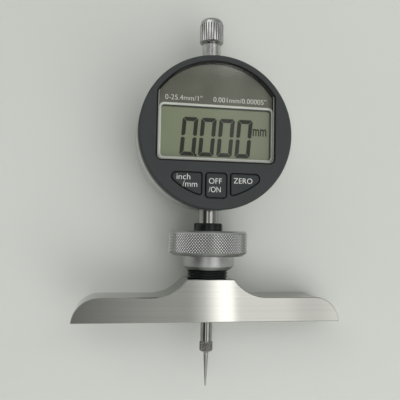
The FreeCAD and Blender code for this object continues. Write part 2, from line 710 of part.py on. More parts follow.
def battery_side_clip():
    """The spring clip around the coin cell, with a leg up to the board."""
    inner = BATTERY_R + CLIP_GAP
    outer = inner + CLIP_THICKNESS
    foot = BATTERY_BACK + CLIP_INSET
    band_top = BATTERY_TOP - BATTERY_STEP
    band = sector(inner, outer, CLIP_HALF_DEG, foot, band_top, 0, BATTERY_X, HEAD_CENTRE)
    leg_turn = CLIP_LEG_HALF_DEG - CLIP_HALF_DEG
    leg = sector(inner, outer, CLIP_LEG_HALF_DEG, foot, BOARD_BACK, leg_turn, BATTERY_X, HEAD_CENTRE)
    return band.fuse(leg)


def battery_top_contact():
    """The flat spring that rests on the coin cell's small face and rises to the board."""
    half = CONTACT_ARM_WIDTH / 2
    y0 = HEAD_CENTRE - half
    y1 = HEAD_CENTRE + half
    leg_inner = BATTERY_X + BATTERY_R + CLIP_GAP + CLIP_THICKNESS + CONTACT_LEG_GAP
    leg_outer = leg_inner + CLIP_THICKNESS
    arm = block(leg_outer - CONTACT_ARM_LENGTH, leg_outer, y0, y1, BATTERY_TOP, BATTERY_TOP + CLIP_THICKNESS)
    leg = block(leg_inner, leg_outer, y0, y1, BATTERY_TOP, BOARD_BACK)
    return arm.fuse(leg)


# Electronics


def board_screw_places():
    """The four screws that hold the board down on the case's two blocks."""
    low = LOWER_BLOCK_TOP - BOARD_SCREW_INSET
    high = UPPER_BLOCK_BOTTOM + BOARD_SCREW_INSET
    return [(side * BOARD_SCREW_X, y) for y in (low, high) for side in (-1, 1)]


def circuit_board():
    """The main board, notched round the case's screw bosses."""
    board = disc(BOARD_R, BOARD_BACK, BOARD_FRONT)
    for angle in BOSS_ANGLES:
        x, y = place_on_circle(angle)
        board = board.cut(disc(BOSS_R + LIP_GAP, BOARD_BACK, BOARD_FRONT, x, y))
    for x, y in board_screw_places():
        board = board.cut(disc(BOARD_SCREW_R + SCREW_GAP, BOARD_BACK, BOARD_FRONT, x, y))
    return board


def board_screws():
    """Four small screws through the board."""
    group = []
    for x, y in board_screw_places():
        head = disc(BOARD_SCREW_HEAD_R, BOARD_FRONT, BOARD_FRONT + BOARD_SCREW_HEAD, x, y)
        shank = disc(BOARD_SCREW_R, BOARD_FRONT - BOARD_SCREW_LENGTH, BOARD_FRONT, x, y)
        group.append(head.fuse(shank).removeSplitter())
    return Part.makeCompound(group)


def processor():
    """The chip under its round drop of resin."""
    drop = disc(CHIP_R, BOARD_FRONT, BOARD_FRONT + CHIP_THICKNESS)
    return drop.makeChamfer(CHIP_SLOPE, rims_at(drop, BOARD_FRONT + CHIP_THICKNESS))


def keypad():
    """The rubber mat with a dome under each button."""
    row = HEAD_CENTRE + DOME_ROW
    mat = block(-DOME_PITCH - DOME_R, DOME_PITCH + DOME_R, row - DOME_R, row + DOME_R, BOARD_FRONT,
                BOARD_FRONT + PAD_THICKNESS)
    for x in (-DOME_PITCH, 0, DOME_PITCH):
        foot = BOARD_FRONT + PAD_THICKNESS
        mat = mat.fuse(Part.makeCone(DOME_R, DOME_TIP_R, DOME_TOP - foot, Vector(x, row, foot), Z_AXIS))
    return mat


def sensor_board():
    """The pick-up plate under the main board, a hair's breadth above the moving scale."""
    half = SENSOR_WIDTH / 2
    return block(-half, half, SENSOR_START, SENSOR_START + SENSOR_LENGTH, SENSOR_BACK, BOARD_BACK)


# Stem, bushes and plunger


def stem():
    """The ground stem that the clamp holds, let into the case."""
    return turned(
        [
            (BUSH_R, STEM_BOTTOM),
            (STEM_R - STEM_BREAK, STEM_BOTTOM),
            (STEM_R, STEM_BOTTOM + STEM_BREAK),
            (STEM_R, STEM_TOP),
            (STEM_SPIGOT_R, STEM_TOP),
            (STEM_SPIGOT_R, LOWER_BLOCK_TOP),
            (STEM_BORE_R, LOWER_BLOCK_TOP),
            (STEM_BORE_R, STEM_BOTTOM + BUSH_LENGTH),
            (BUSH_R, STEM_BOTTOM + BUSH_LENGTH),
        ]
    )


def lower_bush():
    """The bush at the stem's mouth in which the plunger runs."""
    bush = rod(BUSH_R, STEM_BOTTOM, STEM_BOTTOM + BUSH_LENGTH)
    return bush.cut(rod(SPINDLE_R + SPINDLE_GAP, STEM_BOTTOM, STEM_BOTTOM + BUSH_LENGTH))


def upper_bushing():
    """The bushing on top of the case, under the lifting knob."""
    bore = SPINDLE_R + SPINDLE_GAP
    return turned(
        [
            (bore, UPPER_BLOCK_BOTTOM),
            (UPPER_BUSHING_SPIGOT_R, UPPER_BLOCK_BOTTOM),
            (UPPER_BUSHING_SPIGOT_R, UPPER_BUSHING_SEAT),
            (UPPER_BUSHING_R, UPPER_BUSHING_SEAT),
            (UPPER_BUSHING_R, UPPER_BUSHING_TOP - STEM_BREAK),
            (UPPER_BUSHING_R - STEM_BREAK, UPPER_BUSHING_TOP),
            (bore, UPPER_BUSHING_TOP),
        ]
    )


def spindle():
    """The plunger's rod, tapped at both ends for the contact point and the knob."""
    bar = rod(SPINDLE_R, COLLAR_TOP, KNOB_BOTTOM)
    tap = THREAD_STUD_R + THREAD_STUD_GAP
    return bar.cut(rod(tap, COLLAR_TOP, COLLAR_TOP + CONTACT_STUD_LENGTH + THREAD_STUD_GAP))


def knob_stud():
    """The stud on the spindle's top end that screws into the knob."""
    return rod(THREAD_STUD_R, KNOB_BOTTOM, KNOB_BOTTOM + KNOB_STUD_LENGTH)


def contact_point():
    """The screwed-in contact point: stud, grip collar and long needle with a rounded tip."""
    collar_foot = COLLAR_TOP - COLLAR_LENGTH
    point = turned(
        [
            (0, COLLAR_TOP + CONTACT_STUD_LENGTH),
            (THREAD_STUD_R, COLLAR_TOP + CONTACT_STUD_LENGTH),
            (THREAD_STUD_R, COLLAR_TOP),
            (COLLAR_R - COLLAR_BREAK, COLLAR_TOP),
            (COLLAR_R, COLLAR_TOP - COLLAR_BREAK),
            (COLLAR_R, collar_foot + COLLAR_BREAK),
            (COLLAR_R - COLLAR_BREAK, collar_foot),
            (NEEDLE_R + NEEDLE_NECK / 2, collar_foot),
            (NEEDLE_R, collar_foot - NEEDLE_NECK),
            (NEEDLE_R, NEEDLE_TIP + NEEDLE_TAPER),
            (NEEDLE_TIP_R, NEEDLE_TIP + NEEDLE_TIP_R),
            (0, NEEDLE_TIP + NEEDLE_TIP_R),
        ]
    )
    ball = Part.makeSphere(NEEDLE_TIP_R, Vector(0, NEEDLE_TIP + NEEDLE_TIP_R, 0), Y_AXIS)
    return point.fuse(ball)


def lifting_knob():
    """The knob on top: bevelled foot, straight flutes and a domed crown."""
    crown_shoulder = KNOB_R - KNOB_SHOULDER
    start = Vector(crown_shoulder, KNOB_FLUTE_END, 0)
    middle = Vector(crown_shoulder - KNOB_CROWN_BULGE, KNOB_TOP - KNOB_CROWN_FALL, 0)
    crown = Vector(KNOB_DOME_R, KNOB_TOP, 0)
    corners = [
        crown,
        Vector(0, KNOB_TOP, 0),
        Vector(0, KNOB_BOTTOM, 0),
        Vector(KNOB_R - KNOB_LOWER_BEVEL, KNOB_BOTTOM, 0),
        Vector(KNOB_R, KNOB_BOTTOM + KNOB_LOWER_BEVEL, 0),
        Vector(KNOB_R, KNOB_FLUTE_END, 0),
        start,
    ]
    edges = [Part.LineSegment(a, b).toShape() for a, b in zip(corners, corners[1:])]
    edges.append(Part.Arc(start, middle, crown).toShape())
    knob = Part.Face(Part.Wire(edges)).revolve(Vector(0, 0, 0), Y_AXIS, 360)
    reach = KNOB_STUD_LENGTH + THREAD_STUD_GAP
    knob = knob.cut(rod(THREAD_STUD_R + THREAD_STUD_GAP, KNOB_BOTTOM, KNOB_BOTTOM + reach))
    slope = KNOB_FLUTE_HALF_WIDTH / KNOB_FLUTE_DEPTH
    outer = KNOB_R + KNOB_FLUTE_DEPTH
    half = 2 * KNOB_FLUTE_DEPTH * slope
    root = Vector(KNOB_R - KNOB_FLUTE_DEPTH, KNOB_FLUTE_START, 0)
    vee = Part.makePolygon([root, Vector(outer, KNOB_FLUTE_START, -half), Vector(outer, KNOB_FLUTE_START, half), root])
    vee = Part.Face(vee).extrude(Y_AXIS * (KNOB_FLUTE_END - KNOB_FLUTE_START))
    flutes = []
    for index in range(KNOB_FLUTES):
        flute = vee.copy()
        flute.rotate(Vector(0, 0, 0), Y_AXIS, index * 360 / KNOB_FLUTES)
        flutes.append(flute)
    return knob.cut(Part.makeCompound(flutes))


# Moving scale


def scale_carrier():
    """The saddle on the spindle that carries the scale and the return spring's arm."""
    half = CARRIER_HALF_WIDTH
    body = block(-half, half, CARRIER_BOTTOM, CARRIER_TOP, CARRIER_BACK, CARRIER_FRONT)
    arm = block(-half - CARRIER_ARM_REACH, -half, CARRIER_TOP - CARRIER_ARM_LENGTH, CARRIER_TOP,
                SPRING_Z - CARRIER_ARM_THICKNESS / 2, SPRING_Z + CARRIER_ARM_THICKNESS / 2)
    body = body.fuse(arm).cut(rod(SPINDLE_R, CARRIER_BOTTOM, CARRIER_TOP))
    hole = Part.makeCylinder(GUIDE_PIN_R, GUIDE_PIN_HOLD, guide_pin_root(), X_AXIS)
    return body.cut(hole)


def guide_pin_root():
    """The inner end of the guide pin, inside the carrier."""
    return Vector(CARRIER_HALF_WIDTH - GUIDE_PIN_HOLD, CARRIER_BOTTOM + GUIDE_PIN_RISE, GUIDE_PIN_Z)


def guide_pin():
    """The pin that runs in the rail and keeps the plunger from turning."""
    length = RAIL_NEAR + GUIDE_PIN_ENGAGE - (CARRIER_HALF_WIDTH - GUIDE_PIN_HOLD)
    return Part.makeCylinder(GUIDE_PIN_R, length, guide_pin_root(), X_AXIS)


def guide_rail():
    """The slotted rail beside the plunger, screwed under the board between the two blocks."""
    y0 = LOWER_BLOCK_TOP + RAIL_END_GAP
    y1 = UPPER_BLOCK_BOTTOM - RAIL_END_GAP
    rail = block(RAIL_NEAR, RAIL_NEAR + RAIL_WIDTH, y0, y1, RAIL_BACK, BOARD_BACK)
    reach = GUIDE_PIN_R + RAIL_SLOT_GAP
    depth = RAIL_NEAR + GUIDE_PIN_ENGAGE + RAIL_SLOT_EXTRA
    return rail.cut(block(RAIL_NEAR, depth, y0, y1, GUIDE_PIN_Z - reach, GUIDE_PIN_Z + reach))


def scale_strip():
    """The graduated strip glued to the carrier."""
    half = CARRIER_HALF_WIDTH - STRIP_MARGIN
    return block(-half, half, CARRIER_BOTTOM, CARRIER_TOP, CARRIER_FRONT, STRIP_FRONT)


def stop_washer():
    """The soft washer on which the carrier lands at the end of its stroke."""
    top = LOWER_BLOCK_TOP + STOP_WASHER_THICKNESS
    washer = rod(STOP_WASHER_R, LOWER_BLOCK_TOP, top)
    washer = washer.cut(rod(STEM_BORE_R, LOWER_BLOCK_TOP, top))
    limit = block(-STOP_WASHER_R, STOP_WASHER_R, LOWER_BLOCK_TOP, top, -STOP_WASHER_R, CARRIER_FRONT)
    return washer.common(limit)


def return_spring():
    """The coil that draws the carrier and plunger down, each turn a few straight runs of flat-sided wire."""
    start = LOWER_BLOCK_TOP + SPRING_END_GAP + SPRING_WIRE_R
    length = CARRIER_TOP - CARRIER_ARM_LENGTH - SPRING_END_GAP - SPRING_WIRE_R - start
    count = SPRING_TURNS * SPRING_RUNS
    middles = []
    for index in range(count + 1):
        turn = 2 * math.pi * index / SPRING_RUNS
        middles.append(Vector(SPRING_R * math.cos(turn), SPRING_R * math.sin(turn), length * index / count))
    along = (middles[1] - middles[0]).normalize()
    side = along.cross(Z_AXIS).normalize()
    rise = along.cross(side)
    corners = []
    for index in range(SPRING_WIRE_SIDES):
        turn = 2 * math.pi * (index + 0.5) / SPRING_WIRE_SIDES
        corners.append(middles[0] + side * (SPRING_WIRE_R * math.cos(turn)) + rise * (SPRING_WIRE_R * math.sin(turn)))
    wire_end = Part.makePolygon(corners + corners[:1])
    coil = Part.makePolygon(middles).makePipeShell([wire_end], True, False, 1)
    coil.rotate(Vector(0, 0, 0), X_AXIS, -90)
    coil.translate(Vector(SPRING_X, start, SPRING_Z))
    return coil


def main():
    os.makedirs("parts", exist_ok=True)
    save("base_bar", base_bar())
    save("clamp_sleeve", clamp_sleeve())
    save("clamp_nut", clamp_nut())
    save("front_bezel", front_bezel())
    save("bezel_gasket", bezel_gasket())
    save("rear_case", rear_case())
    save("back_cover", back_cover())
    save("back_cover_screws", back_cover_screws())
    save("battery_cap", battery_cap())
    save("battery", battery())
    save("battery_side_clip", battery_side_clip())
    save("battery_top_contact", battery_top_contact())
    save("window_lens", window_lens())
    save("face_mask", face_mask())
    save("lcd_glass", lcd_glass())
    save("lcd_frame", lcd_frame())
    save("zebra_strip", zebra_strip())
    save("circuit_board", circuit_board())
    save("board_screws", board_screws())
    save("processor", processor())
    save("keypad", keypad())
    save("sensor_board", sensor_board())
    save("stem", stem())
    save("lower_bush", lower_bush())
    save("upper_bushing", upper_bushing())
    save("stop_washer", stop_washer())
    save("guide_rail", guide_rail())
    save("return_spring", return_spring())
    for node, arcs in BUTTON_ARCS.items():
        save(node, button(arcs))
    save("spindle", spindle().fuse(knob_stud()))
    save("contact_point", contact_point())
    save("lifting_knob", lifting_knob())
    save("scale_carrier", scale_carrier())
    save("scale_strip", scale_strip())
    save("guide_pin", guide_pin())
    print(f"lying at a roll of {REST_ROLL:.3f} degrees, middle at Y {REST_MIDDLE:.2f}")


main()
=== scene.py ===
# %% [markdown]
# This scene dresses a dial depth gauge: a round digital indicator, clamped by its stem in a depth base.
# The gauge lies on a table, rolled a little onto one end of its base, and we look down on its display.
# Every solid is loaded first as a fixed frame, so that each new piece can be put where its solid is.

# %% Load the frame
import json
import math

import bmesh
import bpy
import numpy as np
from mathutils import Matrix, Vector

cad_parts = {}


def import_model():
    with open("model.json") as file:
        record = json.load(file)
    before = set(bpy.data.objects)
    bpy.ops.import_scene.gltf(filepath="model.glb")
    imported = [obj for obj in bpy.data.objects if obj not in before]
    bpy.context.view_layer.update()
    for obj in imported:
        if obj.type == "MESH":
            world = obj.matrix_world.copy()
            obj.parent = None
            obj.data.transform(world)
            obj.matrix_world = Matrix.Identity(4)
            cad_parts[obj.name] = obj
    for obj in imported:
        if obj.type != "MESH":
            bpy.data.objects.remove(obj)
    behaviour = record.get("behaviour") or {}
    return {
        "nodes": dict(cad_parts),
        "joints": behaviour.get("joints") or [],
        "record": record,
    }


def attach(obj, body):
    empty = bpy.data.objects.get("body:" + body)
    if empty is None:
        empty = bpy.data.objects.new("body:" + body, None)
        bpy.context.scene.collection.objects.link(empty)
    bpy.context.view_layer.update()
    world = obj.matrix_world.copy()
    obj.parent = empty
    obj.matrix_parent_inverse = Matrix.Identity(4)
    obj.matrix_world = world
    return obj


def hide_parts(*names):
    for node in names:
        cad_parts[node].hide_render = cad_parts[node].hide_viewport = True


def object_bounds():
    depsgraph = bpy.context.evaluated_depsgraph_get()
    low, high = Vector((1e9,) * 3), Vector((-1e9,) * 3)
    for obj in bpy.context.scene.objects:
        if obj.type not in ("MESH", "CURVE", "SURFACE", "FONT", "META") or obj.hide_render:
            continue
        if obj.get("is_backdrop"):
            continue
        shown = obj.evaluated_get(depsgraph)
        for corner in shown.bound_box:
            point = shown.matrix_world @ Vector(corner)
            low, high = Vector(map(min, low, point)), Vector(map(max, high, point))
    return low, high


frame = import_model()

cad_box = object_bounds()

# %% [markdown]
# A drawing of a gauge is easiest in the gauge's own axes, in millimetres: x along the base, y up the stem
# and z out of the display, with y = 0 at the measuring face and x = z = 0 on the stem.
# The gauge lies a little rolled over, so we read those axes from the frame: the buttons' presses run
# along -z, the measuring face looks along -y, and the head swivels about the stem.

# %% The gauge's own axes
MM = 0.001
joints = {joint["name"]: joint for joint in frame["joints"]}
mounts = {mount["name"]: mount for mount in frame["record"]["mounts"]}

OUT = -np.array(joints["on_off_press"]["axis"], float)
ALONG = -np.array(mounts["measuring_face"]["axis"], float)
ACROSS = np.cross(ALONG, OUT)
AXES = np.column_stack([ACROSS, ALONG, OUT])
STEM = np.array(joints["head_swivel"]["pos_m"], float)
FOOT = np.array([STEM[0], mounts["measuring_face"]["pos_m"][1], STEM[2]])
ROLL = math.degrees(math.atan2(OUT[0], OUT[2]))


def placed(points):
    """Points in the gauge's millimetres, turned and moved to the frame's metres."""
    return FOOT + MM * np.asarray(points, float) @ AXES.T


def in_gauge(node):
    """A node's lowest and highest corner in the gauge's millimetres."""
    mesh = frame["nodes"][node].data
    flat = np.empty(len(mesh.vertices) * 3)
    mesh.vertices.foreach_get("co", flat)
    points = (flat.reshape(-1, 3) - FOOT) @ AXES / MM
    return points.min(0), points.max(0)


print("rolled over by", round(ROLL, 2), "degrees")

# %% [markdown]
# The main sizes of the new pieces come from the solids that they replace or lie on.

# %% Sizes read from the frame
nut_low, nut_high = in_gauge("clamp_nut")
_, sleeve_high = in_gauge("clamp_sleeve")
head_low, head_high = in_gauge("front_bezel")
lens_low, lens_high = in_gauge("window_lens")
_, mask_high = in_gauge("face_mask")
display_low, display_high = in_gauge("lcd_glass")
_, button_high = in_gauge("on_off_button")
knob_low, knob_high = in_gauge("lifting_knob")
point_low, point_high = in_gauge("contact_point")
_, base_high = in_gauge("base_bar")
HEAD_Y = (head_low[1] + head_high[1]) / 2
print("head centre", round(HEAD_Y, 2), "mm above the measuring face, front at", round(head_high[2], 2))

# %% [markdown]
# Shader graphs read best as arithmetic. This class wraps one socket of a shader tree and lets Python's
# operators add the Math nodes, so a worn patch can be written as 1 - mask * 0.3.
# Any other node comes from one method, which takes its type, its settings and its inputs.

# %% A socket that does arithmetic
class Shade:
    """One output of a shader node; arithmetic on it adds Math nodes, and node() adds any other."""

    def __init__(self, tree, socket=None):
        self.tree = tree
        self.socket = socket

    def node(self, kind, settings=None, inputs=None, out=0):
        """Add a node, set its settings first and then its inputs, and wrap one of its outputs."""
        made = self.tree.nodes.new(kind)
        for name, value in (settings or {}).items():
            if name == "stops":
                ramp = made.color_ramp.elements
                while len(ramp) < len(value):
                    ramp.new(1.0)
                for stop, (place, colour) in zip(ramp, value):
                    stop.position = place
                    stop.color = (*colour, 1.0)
            else:
                setattr(made, name, value)
        by_key = {socket.identifier: socket for socket in made.inputs}
        for name, value in (inputs or {}).items():
            socket = by_key.get(name) or made.inputs[name]
            if isinstance(value, Shade):
                self.tree.links.new(value.socket, socket)
            else:
                socket.default_value = value
        found = {socket.identifier: socket for socket in made.outputs}
        return Shade(self.tree, found.get(out) or made.outputs[out])

    def also(self, out):
        """Another output of the same node."""
        return Shade(self.tree, self.socket.node.outputs[out])

    def maths(self, operation, *values):
        return self.node("ShaderNodeMath", {"operation": operation}, dict(enumerate(values)))

    def __add__(self, other):
        return self.maths("ADD", self, other)

    def __radd__(self, other):
        return self.maths("ADD", other, self)

    def __sub__(self, other):
        return self.maths("SUBTRACT", self, other)

    def __rsub__(self, other):
        return self.maths("SUBTRACT", other, self)

    def __mul__(self, other):
        return self.maths("MULTIPLY", self, other)

    def __rmul__(self, other):
        return self.maths("MULTIPLY", other, self)

    def __truediv__(self, other):
        return self.maths("DIVIDE", self, other)

    def __rtruediv__(self, other):
        return self.maths("DIVIDE", other, self)

    def __pow__(self, other):
        return self.maths("POWER", self, other)

    def between(self, low, high):
        """0 below low, 1 above high and a smooth rise between them."""
        inputs = {"Value": self, "From Min": low, "From Max": high, "To Min": 0.0, "To Max": 1.0}
        return self.node("ShaderNodeMapRange", {"interpolation_type": "SMOOTHSTEP"}, inputs)

    def colours(self, first, last):
        """Mix two colours by this value."""
        inputs = {"Factor_Float": self, "A_Color": first, "B_Color": last}
        return self.node("ShaderNodeMix", {"data_type": "RGBA"}, inputs, "Result_Color")


# %% [markdown]
# A finish is a material with one Principled BSDF. Each finish below starts from the place of the shaded
# point in the gauge's millimetres, so that grain and brush marks have their real size and direction.

# %% Start a finish
def new_finish(name, **plain):
    """A material with plain socket values. Returns it, its Principled node and the shaded point in gauge
    millimetres."""
    material = bpy.data.materials.new(name)
    material.use_nodes = True
    tree = material.node_tree
    surface = tree.nodes["Principled BSDF"]
    for key, value in plain.items():
        socket = surface.inputs[key.replace("_", " ").title().replace("Ior", "IOR")]
        socket.default_value = (*value, 1.0) if isinstance(value, tuple) else value
    start = Shade(tree)
    there = start.node("ShaderNodeTexCoord", out="Object")
    turn = Matrix(AXES.T.tolist()).to_euler()
    shift = -(FOOT @ AXES) / MM
    settings = {"Vector": there, "Location": shift.tolist(), "Rotation": turn, "Scale": (1 / MM,) * 3}
    point = start.node("ShaderNodeMapping", {}, settings)
    return material, surface, point


def stretched(point, scale):
    """The point with each of its axes scaled, for grain that runs one way."""
    return point.node("ShaderNodeVectorMath", {"operation": "MULTIPLY"}, {0: point, 1: scale})


def noise(point, scale, detail=2.0, roughness=0.5):
    """Soft noise between about 0.3 and 0.7, with scale bumps in a millimetre."""
    inputs = {"Vector": point, "Scale": scale, "Detail": detail, "Roughness": roughness}
    return point.node("ShaderNodeTexNoise", {}, inputs)


def bumped(surface, height, distance):
    """Give the finish a relief of that height in metres."""
    inputs = {"Height": height, "Distance": distance, "Strength": 1.0}
    relief = height.node("ShaderNodeBump", {}, inputs)
    height.tree.links.new(relief.socket, surface.inputs["Normal"])


def feed(surface, **values):
    """Link varying values to the sockets that may vary over a surface."""
    for key, value in values.items():
        value.tree.links.new(value.socket, surface.inputs[key.replace("_", " ").title()])


# %% [markdown]
# The base is a steel bar, ground on all sides. Grinding leaves fine scratches along the bar, which smear
# every reflection across them, so a broad soft light shows as an upright band on it.
# Two noises, drawn out along x, give the scratches as relief, and they vary the gloss and the tone too.

# %% Ground steel
def ground_steel():
    """Steel with fine scratches along the base."""
    material, surface, point = new_finish("ground_steel", metallic=1.0, roughness=0.12)
    fine = noise(stretched(point, (0.02, 4.0, 4.0)), 1.0, 3.0, 0.6)
    wide = noise(stretched(point, (0.012, 1.1, 1.1)), 1.0, 2.0)
    bumped(surface, fine * 0.85 + wide * 0.15, 0.0000025)
    feed(surface, roughness=0.02 + fine * 0.03 + wide * 0.02)
    streak = fine * 0.6 + wide * 0.4
    feed(surface, base_color=streak.colours((0.34, 0.34, 0.315, 1), (0.46, 0.46, 0.435, 1)))
    return material


# %% [markdown]
# Turned pieces carry rings from the lathe. On the plated nut and knob they are faint under a satin finish,
# and on the polished stem and plunger they only trouble the reflection a little. A knurl or a flute is
# painted by the radius: its valleys darker, for dirt and for painted shade, and its crests paler, for wear
# and for a painted highlight.

# %% Turned metals
def turned_metal(name, colour, roughness, ring, grain, metallic=1.0):
    """Metal turned about the stem: rings across y, a fine grain and slightly uneven gloss."""
    material, surface, point = new_finish(name, metallic=metallic, roughness=roughness)
    rings = noise(stretched(point, (0.05, 9.0, 0.05)), 1.0, 2.0)
    speckle = noise(point, 14.0, 2.0)
    patch = noise(point, 0.35, 2.0)
    bumped(surface, rings * ring + speckle * grain, 0.00001)
    feed(surface, roughness=roughness * (0.8 + patch * 0.25 + speckle * 0.15))
    darker = tuple(0.86 * part for part in colour)
    feed(surface, base_color=patch.between(0.3, 0.7).colours((*darker, 1), (*colour, 1)))
    return material


def gripped_metal(name, colour, roughness, heights, radii, wear_and_lit_tones=(0.26, 1.17)):
    """Satin metal with a grip between two heights: darker in its valleys, for dirt and painted shade, and
    paler and shinier on its crests, for wear and a painted highlight. The radii are those of a valley and
    of a crest, and wear_and_lit_tones gives their tones as parts of the colour."""
    material, surface, point = new_finish(name, metallic=1.0, roughness=roughness)
    rings = noise(stretched(point, (0.05, 9.0, 0.05)), 1.0, 2.0)
    speckle = noise(point, 14.0, 2.0)
    patch = noise(point, 0.35, 2.0)
    flat = stretched(point, (1.0, 0.0, 1.0))
    radius = flat.node("ShaderNodeVectorMath", {"operation": "LENGTH"}, {0: flat}, "Value")
    height = point.node("ShaderNodeSeparateXYZ", {}, {"Vector": point}, "Y")
    grip = height.between(heights[0], heights[0] + 0.1) * (1 - height.between(heights[1] - 0.1, heights[1]))
    grip = grip * radius.between(radii[0] - 0.3, radii[0] - 0.15)
    bumped(surface, rings * 0.5 + speckle * 0.3, 0.00001 * min(1, roughness / 0.2))
    feed(surface, roughness=roughness * (0.85 + patch * 0.2 + speckle * 0.1 - grip * 0.5))
    shades = [(*(part * tone for part in colour), 1) for tone in (0.88, 1.0, *wear_and_lit_tones)]
    plain = patch.between(0.3, 0.7).colours(shades[0], shades[1])
    # painted shade in the valleys and a painted highlight on the crests, with some real dirt and wear
    rubbed_and_lit = radius.between(*radii).colours(shades[2], shades[3])
    feed(surface, base_color=grip.colours(plain, rubbed_and_lit))
    return material


def bead_blasted(name, colour, roughness, metallic):
    """A cast or moulded surface with an even fine grain, a little paler where hands have rubbed it."""
    material, surface, point = new_finish(name, metallic=metallic, roughness=roughness)
    grain = noise(point, 7.0, 3.0, 0.6)
    patch = noise(point, 0.12, 2.0)
    bumped(surface, grain, 0.00003)
    feed(surface, roughness=roughness * (0.85 + grain * 0.15 + patch * 0.15))
    darker = tuple(0.88 * part for part in colour)
    tone = (grain * 0.4 + patch * 0.6).between(0.35, 0.65)
    feed(surface, base_color=tone.colours((*darker, 1), (*colour, 1)))
    return material


# %% [markdown]
# The window is clear moulded plastic. A pane this thin shows only its reflection, which grows towards
# grazing angles, so it is a mix of a transparent and a mirror-like shader. Its share is worked out by
# Schlick's rule, s + (1 - s) f^5 with f from Layer Weight, because the Fresnel node would take the
# pane's far side for the inside of solid glass and mirror too much there.

# %% Clear pane
FACE_ON_SHARE = 0.034


def clear_pane():
    """A clear sheet: see-through face on, and a faint mirror of the lights."""
    white = (1.0, 1.0, 1.0)
    material, surface, point = new_finish("clear_pane", metallic=1.0, roughness=0.04, base_color=white)
    smear = noise(point, 0.25, 2.0)
    feed(surface, roughness=0.03 + smear * 0.06)
    start = Shade(material.node_tree)
    clear = start.node("ShaderNodeBsdfTransparent", {}, {"Color": (0.97, 0.975, 0.96, 1)})
    facing = start.node("ShaderNodeLayerWeight", {}, {"Blend": 0.5}, "Facing")
    share = FACE_ON_SHARE + facing**5 * (1 - FACE_ON_SHARE)
    mirror = Shade(material.node_tree, surface.outputs["BSDF"])
    mix = start.node("ShaderNodeMixShader", {}, {0: share, 1: clear, 2: mirror})
    material.node_tree.links.new(mix.socket, material.node_tree.nodes["Material Output"].inputs["Surface"])
    return material


# %% [markdown]
# Printing and lettering are flat paints with a very fine grain. The display's glass is a grey-green
# polariser: a little greener towards its left end and unevenly lit.

# %% Prints and display
def printed(name, colour, roughness=0.5, uneven=0.08):
    """Flat paint or moulding with a fine grain and slightly uneven tone."""
    material, surface, point = new_finish(name, roughness=roughness)
    grain = noise(point, 5.0, 2.0)
    patch = noise(point, 0.15, 2.0)
    bumped(surface, grain, 0.000006)
    darker = tuple((1 - 2 * uneven) * part for part in colour)
    tone = (grain * 0.3 + patch * 0.7).between(0.3, 0.7)
    feed(surface, base_color=tone.colours((*darker, 1), (*colour, 1)))
    feed(surface, roughness=roughness * (0.9 + grain * 0.2))
    return material


def display_glass():
    """The polariser over the liquid crystal, greener to the left."""
    material, surface, point = new_finish("display_glass", roughness=0.35)
    across = point.node("ShaderNodeSeparateXYZ", {}, {"Vector": point}, "X")
    patch = noise(point, 0.09, 3.0)
    tone = (across / (display_high[0] - display_low[0]) + 0.5) * 0.7 + patch * 0.3
    feed(surface, base_color=tone.colours((0.190, 0.217, 0.140, 1), (0.190, 0.206, 0.150, 1)))
    feed(surface, roughness=0.3 + patch * 0.1)
    return material


# %% [markdown]
# New pieces are surfaces worked out as whole arrays: a grid of points, with a face between each four
# neighbours. A grid may close on itself either way round, and its first and last rows may be capped.

# %% Build a mesh from grids
def grid_faces(count, rows, columns, round_rows, round_columns, caps):
    """Faces of a rows by columns grid whose first point has the number count."""
    index = count + np.arange(rows * columns).reshape(rows, columns)
    if round_rows:
        index = np.vstack([index, index[:1]])
    if round_columns:
        index = np.hstack([index, index[:, :1]])
    corners = (index[:-1, :-1], index[1:, :-1], index[1:, 1:], index[:-1, 1:])
    faces = np.stack(corners, axis=-1).reshape(-1, 4).tolist()
    if caps:
        faces.append(index[0, :columns].tolist())
        faces.append(index[-1, :columns].tolist())
    return faces


def piece(name, grids, finish, body, sharp=35.0, replaces=()):
    """One object from one or more grids of gauge points, each (points, round_rows, round_columns, caps)."""
    points = []
    faces = []
    for grid, round_rows, round_columns, caps in grids:
        rows, columns = grid.shape[:2]
        faces += grid_faces(sum(map(len, points)), rows, columns, round_rows, round_columns, caps)
        points.append(placed(grid.reshape(-1, 3)))
    mesh = bpy.data.meshes.new(name)
    mesh.from_pydata(np.concatenate(points).tolist(), [], faces)
    return finished(name, mesh, finish, body, sharp, replaces)


def finished(name, mesh, finish, body, sharp=35.0, replaces=()):
    """Close seams and poles, turn all faces outwards, and let the piece ride on its body."""
    work = bmesh.new()
    work.from_mesh(mesh)
    bmesh.ops.remove_doubles(work, verts=work.verts, dist=1e-7)
    bmesh.ops.recalc_face_normals(work, faces=work.faces)
    work.to_mesh(mesh)
    work.free()
    mesh.shade_smooth()
    mesh.set_sharp_from_angle(angle=math.radians(sharp))
    mesh.materials.append(finish)
    thing = bpy.data.objects.new(name, mesh)
    bpy.context.scene.collection.objects.link(thing)
    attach(thing, body)
    if replaces:
        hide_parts(*replaces)
    print(name, len(mesh.polygons), "faces")
    return thing


# %% [markdown]
# Most of a gauge is turned on a lathe: a profile of radius and height, carried round the stem.
# Real edges are never sharp, so each corner of a profile is eased by a short curve.

